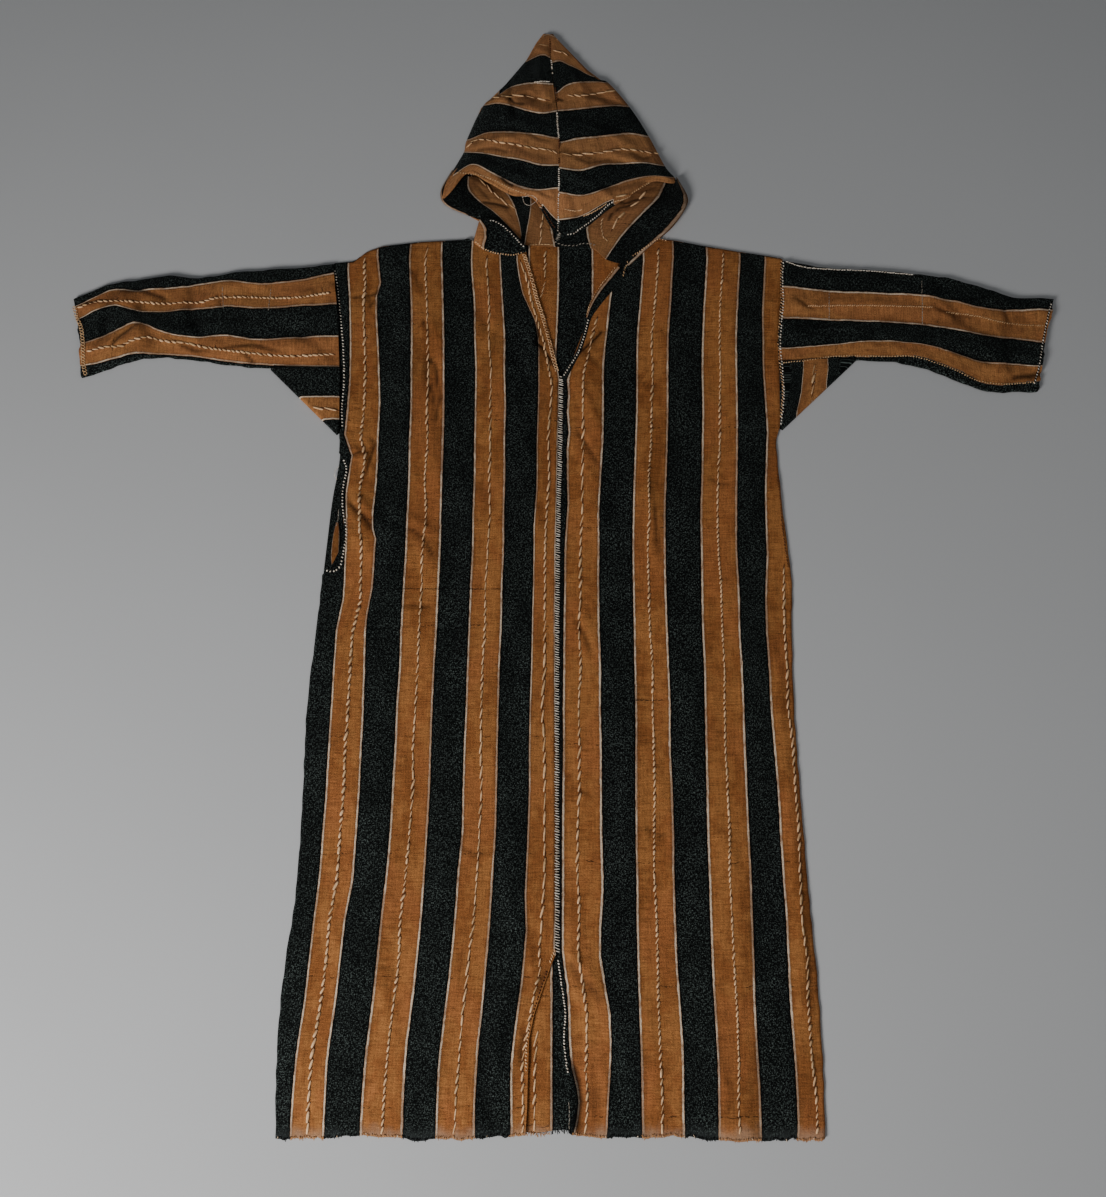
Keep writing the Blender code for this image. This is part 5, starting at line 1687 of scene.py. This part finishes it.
class DJELLABA_OT_yarns(bpy.types.Operator):
    """Lay the thick two-ply yarns in the middle of the ochre bands"""
    bl_idname = "djellaba.yarns"
    bl_label = "Twisted yarns"

    def execute(self, context):
        colours = context.scene.djellaba_colours
        plies = [(tone, wool_thread(f"{tone.capitalize()} yarn", getattr(colours, tone)), rise)
                 for tone, rise in YARN_RISE.items()]
        rng = np.random.default_rng(7)
        body = [Yarn(f"front_{yarn.front}", yarn.width, yarn.short, yarn.long, body_yarn_points(yarn))
                for yarn in BODY_YARNS]
        pieces = {}
        for yarn in body + YARNS:
            pieces.setdefault(yarn.piece, []).append(yarn)
        slots = {"front": SLOT_BODY, "back": SLOT_BODY, "hood": SLOT_HOOD}
        for piece, yarns in pieces.items():
            slot = slots.get(piece.split("_")[0], SLOT_SLEEVE)
            strands = [twisted(yarn, rng) for yarn in yarns]
            for (tone, material, rise), groups in zip(plies, zip(*strands)):
                spots, runs, lengths, wide = joined_groups(groups)
                if len(spots):
                    strokes(f"yarn_{tone}_{piece}", slot, material, spots, runs, lengths, wide, wide * rise)
        return {"FINISHED"}


class DJELLABA_OT_stitches(bpy.types.Operator):
    """Sew the seams, the slits, the neck and the hood's rim by hand"""
    bl_idname = "djellaba.stitches"
    bl_label = "Stitches"

    def execute(self, context):
        colours = context.scene.djellaba_colours
        rng = np.random.default_rng(17)
        slots = {"body": SLOT_BODY, "hood": SLOT_HOOD, "sleeves": SLOT_SLEEVE}
        groups = {}
        for line in LINES:
            for mark in MARKS[line.mark]:
                steps = np.arange((0.5 + mark.at) * line.pitch, line_length(line.points), line.pitch)
                steps = steps + rng.normal(0.0, PITCH_SPREAD * line.pitch, len(steps))
                spots, runs = walk(line.points, steps)
                aside = np.stack([-runs[:, 1], runs[:, 0]], 1)
                spots = spots + aside * (mark.side + rng.normal(0.0, SIDE_SPREAD, len(steps))[:, None])
                runs = turned(runs, mark.turn + rng.normal(0.0, TURN_SPREAD, len(runs)))
                length = mark.length * rng.uniform(*STITCH_SHARES, len(steps))
                width = mark.width * rng.uniform(*STITCH_SHARES, len(steps))
                groups.setdefault((line.piece, line.colour), []).append((spots, runs, length, width))
        for (piece, tone), sewn in groups.items():
            spots, runs, length, width = joined_groups(sewn)
            material = wool_thread(f"{tone.capitalize()} thread", getattr(colours, tone))
            strokes(f"stitches_{tone}_{piece}", slots[piece], material, spots, runs, length, width,
                    width * 0.8, rings=4)
        return {"FINISHED"}


class DJELLABA_OT_fray(bpy.types.Operator):
    """Pull loose threads out of the raw hem"""
    bl_idname = "djellaba.fray"
    bl_label = "Frayed hem"

    def execute(self, context):
        colours = context.scene.djellaba_colours
        longest = context.scene.djellaba_sizes.fray / MM
        rng = np.random.default_rng(29)
        for tone, tint, spacing in (
                ("ochre", paler(colours.ochre, 0.3), 2.0), ("black", colours.black, 2.0),
                ("cream", colours.line, 40.0)):
            x = np.arange(*FRAY_REACH, spacing)
            x = x + rng.normal(0.0, 1.2, len(x))
            left, right = (band_of(x, front_edges(np.full_like(x, HEM), side)) for side in ("left", "right"))
            ochre = np.mod(np.where(x < HEM_SLIT, left, right), 2.0) < 1.0
            if tone == "cream":
                x = x[rng.uniform(size=len(x)) > 0.3]
            else:
                x = x[ochre if tone == "ochre" else ~ochre]
            length = longest * rng.uniform(0.35, 1.0, len(x))
            angle = rng.normal(-90.0, 24.0, len(x))
            runs = np.stack([np.cos(np.radians(angle)), np.sin(np.radians(angle))], 1)
            spots = np.stack([x, hem_line(x) + 1.0], 1) + runs * length[:, None] * 0.22
            strokes(f"fray_{tone}", SLOT_BODY, wool_thread(f"Frayed {tone}", tint), spots, runs, length,
                    rng.uniform(0.9, 1.8, len(x)), np.full(len(x), 0.9), sides=5, rings=4)
        return {"FINISHED"}


# ---------------------------------------------------------------- floor, light and camera
def aim_at(data, place, aim):
    """Stands a light or a camera at a place and turns it to what it looks at."""
    holder = bpy.data.objects.new(data.name, data)
    holder.location = place
    holder.rotation_euler = (aim - place).to_track_quat("-Z", "Y").to_euler()
    bpy.context.collection.objects.link(holder)
    return holder


class DJELLABA_OT_stage(bpy.types.Operator):
    """Set a pale floor, soft studio light and the camera"""
    bl_idname = "djellaba.stage"
    bl_label = "Stage"

    def execute(self, context):
        shape = bmesh.new()
        bmesh.ops.create_grid(shape, x_segments=1, y_segments=1, size=FLOOR_SIZE)
        bmesh.ops.translate(shape, verts=shape.verts, vec=(0.0, 0.0, FLOOR_HEIGHT))
        mesh = bpy.data.meshes.new("floor")
        shape.to_mesh(mesh)
        shape.free()
        material, wiring, shader = new_material("Pale floor")
        place = wiring.node("ShaderNodeTexCoord").outputs["Object"]
        tone = wiring.noise(place, (1.3, 1.3, 0.0), 2.0)
        floor = context.scene.djellaba_colours.floor
        darker = tuple(value * 0.93 for value in floor[:3]) + (1.0,)
        wiring.fill(shader, {"Base Color": wiring.mix(tone, darker, tuple(floor)), "Roughness": 0.9})
        mesh.materials.append(material)
        ground = bpy.data.objects.new("floor", mesh)
        context.collection.objects.link(ground)
        ground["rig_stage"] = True

        for lamp in LAMPS:
            light = bpy.data.lights.new(lamp.name, "AREA")
            light.shape = "DISK"
            light.size = lamp.size
            light.energy = lamp.watts
            aim_at(light, Vector(lamp.place), Vector(lamp.aim))
        world = bpy.data.worlds.new("studio")
        world.use_nodes = True
        sky = world.node_tree.nodes["Background"].inputs
        sky["Color"].default_value = SKY
        sky["Strength"].default_value = SKY_LIGHT
        context.scene.world = world

        lens = bpy.data.cameras.new("camera")
        lens.sensor_fit = "HORIZONTAL"
        lens.sensor_width = SENSOR
        lens.lens = LENS
        context.scene.camera = aim_at(lens, EYE * MM, LOOK_AT * MM)
        return {"FINISHED"}


class DJELLABA_PT_robe(bpy.types.Panel):
    """Sizes, colours and steps of the robe"""
    bl_idname = "DJELLABA_PT_robe"
    bl_label = "Djellaba"
    bl_space_type = "VIEW_3D"
    bl_region_type = "UI"
    bl_category = "Djellaba"

    def draw(self, context):
        for settings in (context.scene.djellaba_sizes, context.scene.djellaba_colours):
            box = self.layout.box()
            for name in settings.__annotations__:
                box.prop(settings, name)
        for step in STEPS:
            self.layout.operator(step.bl_idname)


STEPS = (
    DJELLABA_OT_stage, DJELLABA_OT_back, DJELLABA_OT_fronts, DJELLABA_OT_sleeves, DJELLABA_OT_hood,
    DJELLABA_OT_yarns, DJELLABA_OT_stitches, DJELLABA_OT_fray,
)
CLASSES = (DjellabaSizes, DjellabaColours) + STEPS + (DJELLABA_PT_robe,)


def register():
    for item in CLASSES:
        bpy.utils.register_class(item)
    bpy.types.Scene.djellaba_sizes = bpy.props.PointerProperty(type=DjellabaSizes)
    bpy.types.Scene.djellaba_colours = bpy.props.PointerProperty(type=DjellabaColours)


def unregister():
    del bpy.types.Scene.djellaba_colours
    del bpy.types.Scene.djellaba_sizes
    for item in reversed(CLASSES):
        bpy.utils.unregister_class(item)


def main():
    register()
    bpy.ops.djellaba.stage()
    bpy.ops.djellaba.back()
    bpy.ops.djellaba.fronts()
    bpy.ops.djellaba.sleeves()
    bpy.ops.djellaba.hood()
    bpy.ops.djellaba.yarns()
    bpy.ops.djellaba.stitches()
    bpy.ops.djellaba.fray()
    boxes = {"cad": SOLID_BOX, "visual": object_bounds()}
    boxes = {name: [list(corner) for corner in box] for name, box in boxes.items()}


if __name__ == "__main__":
    main()
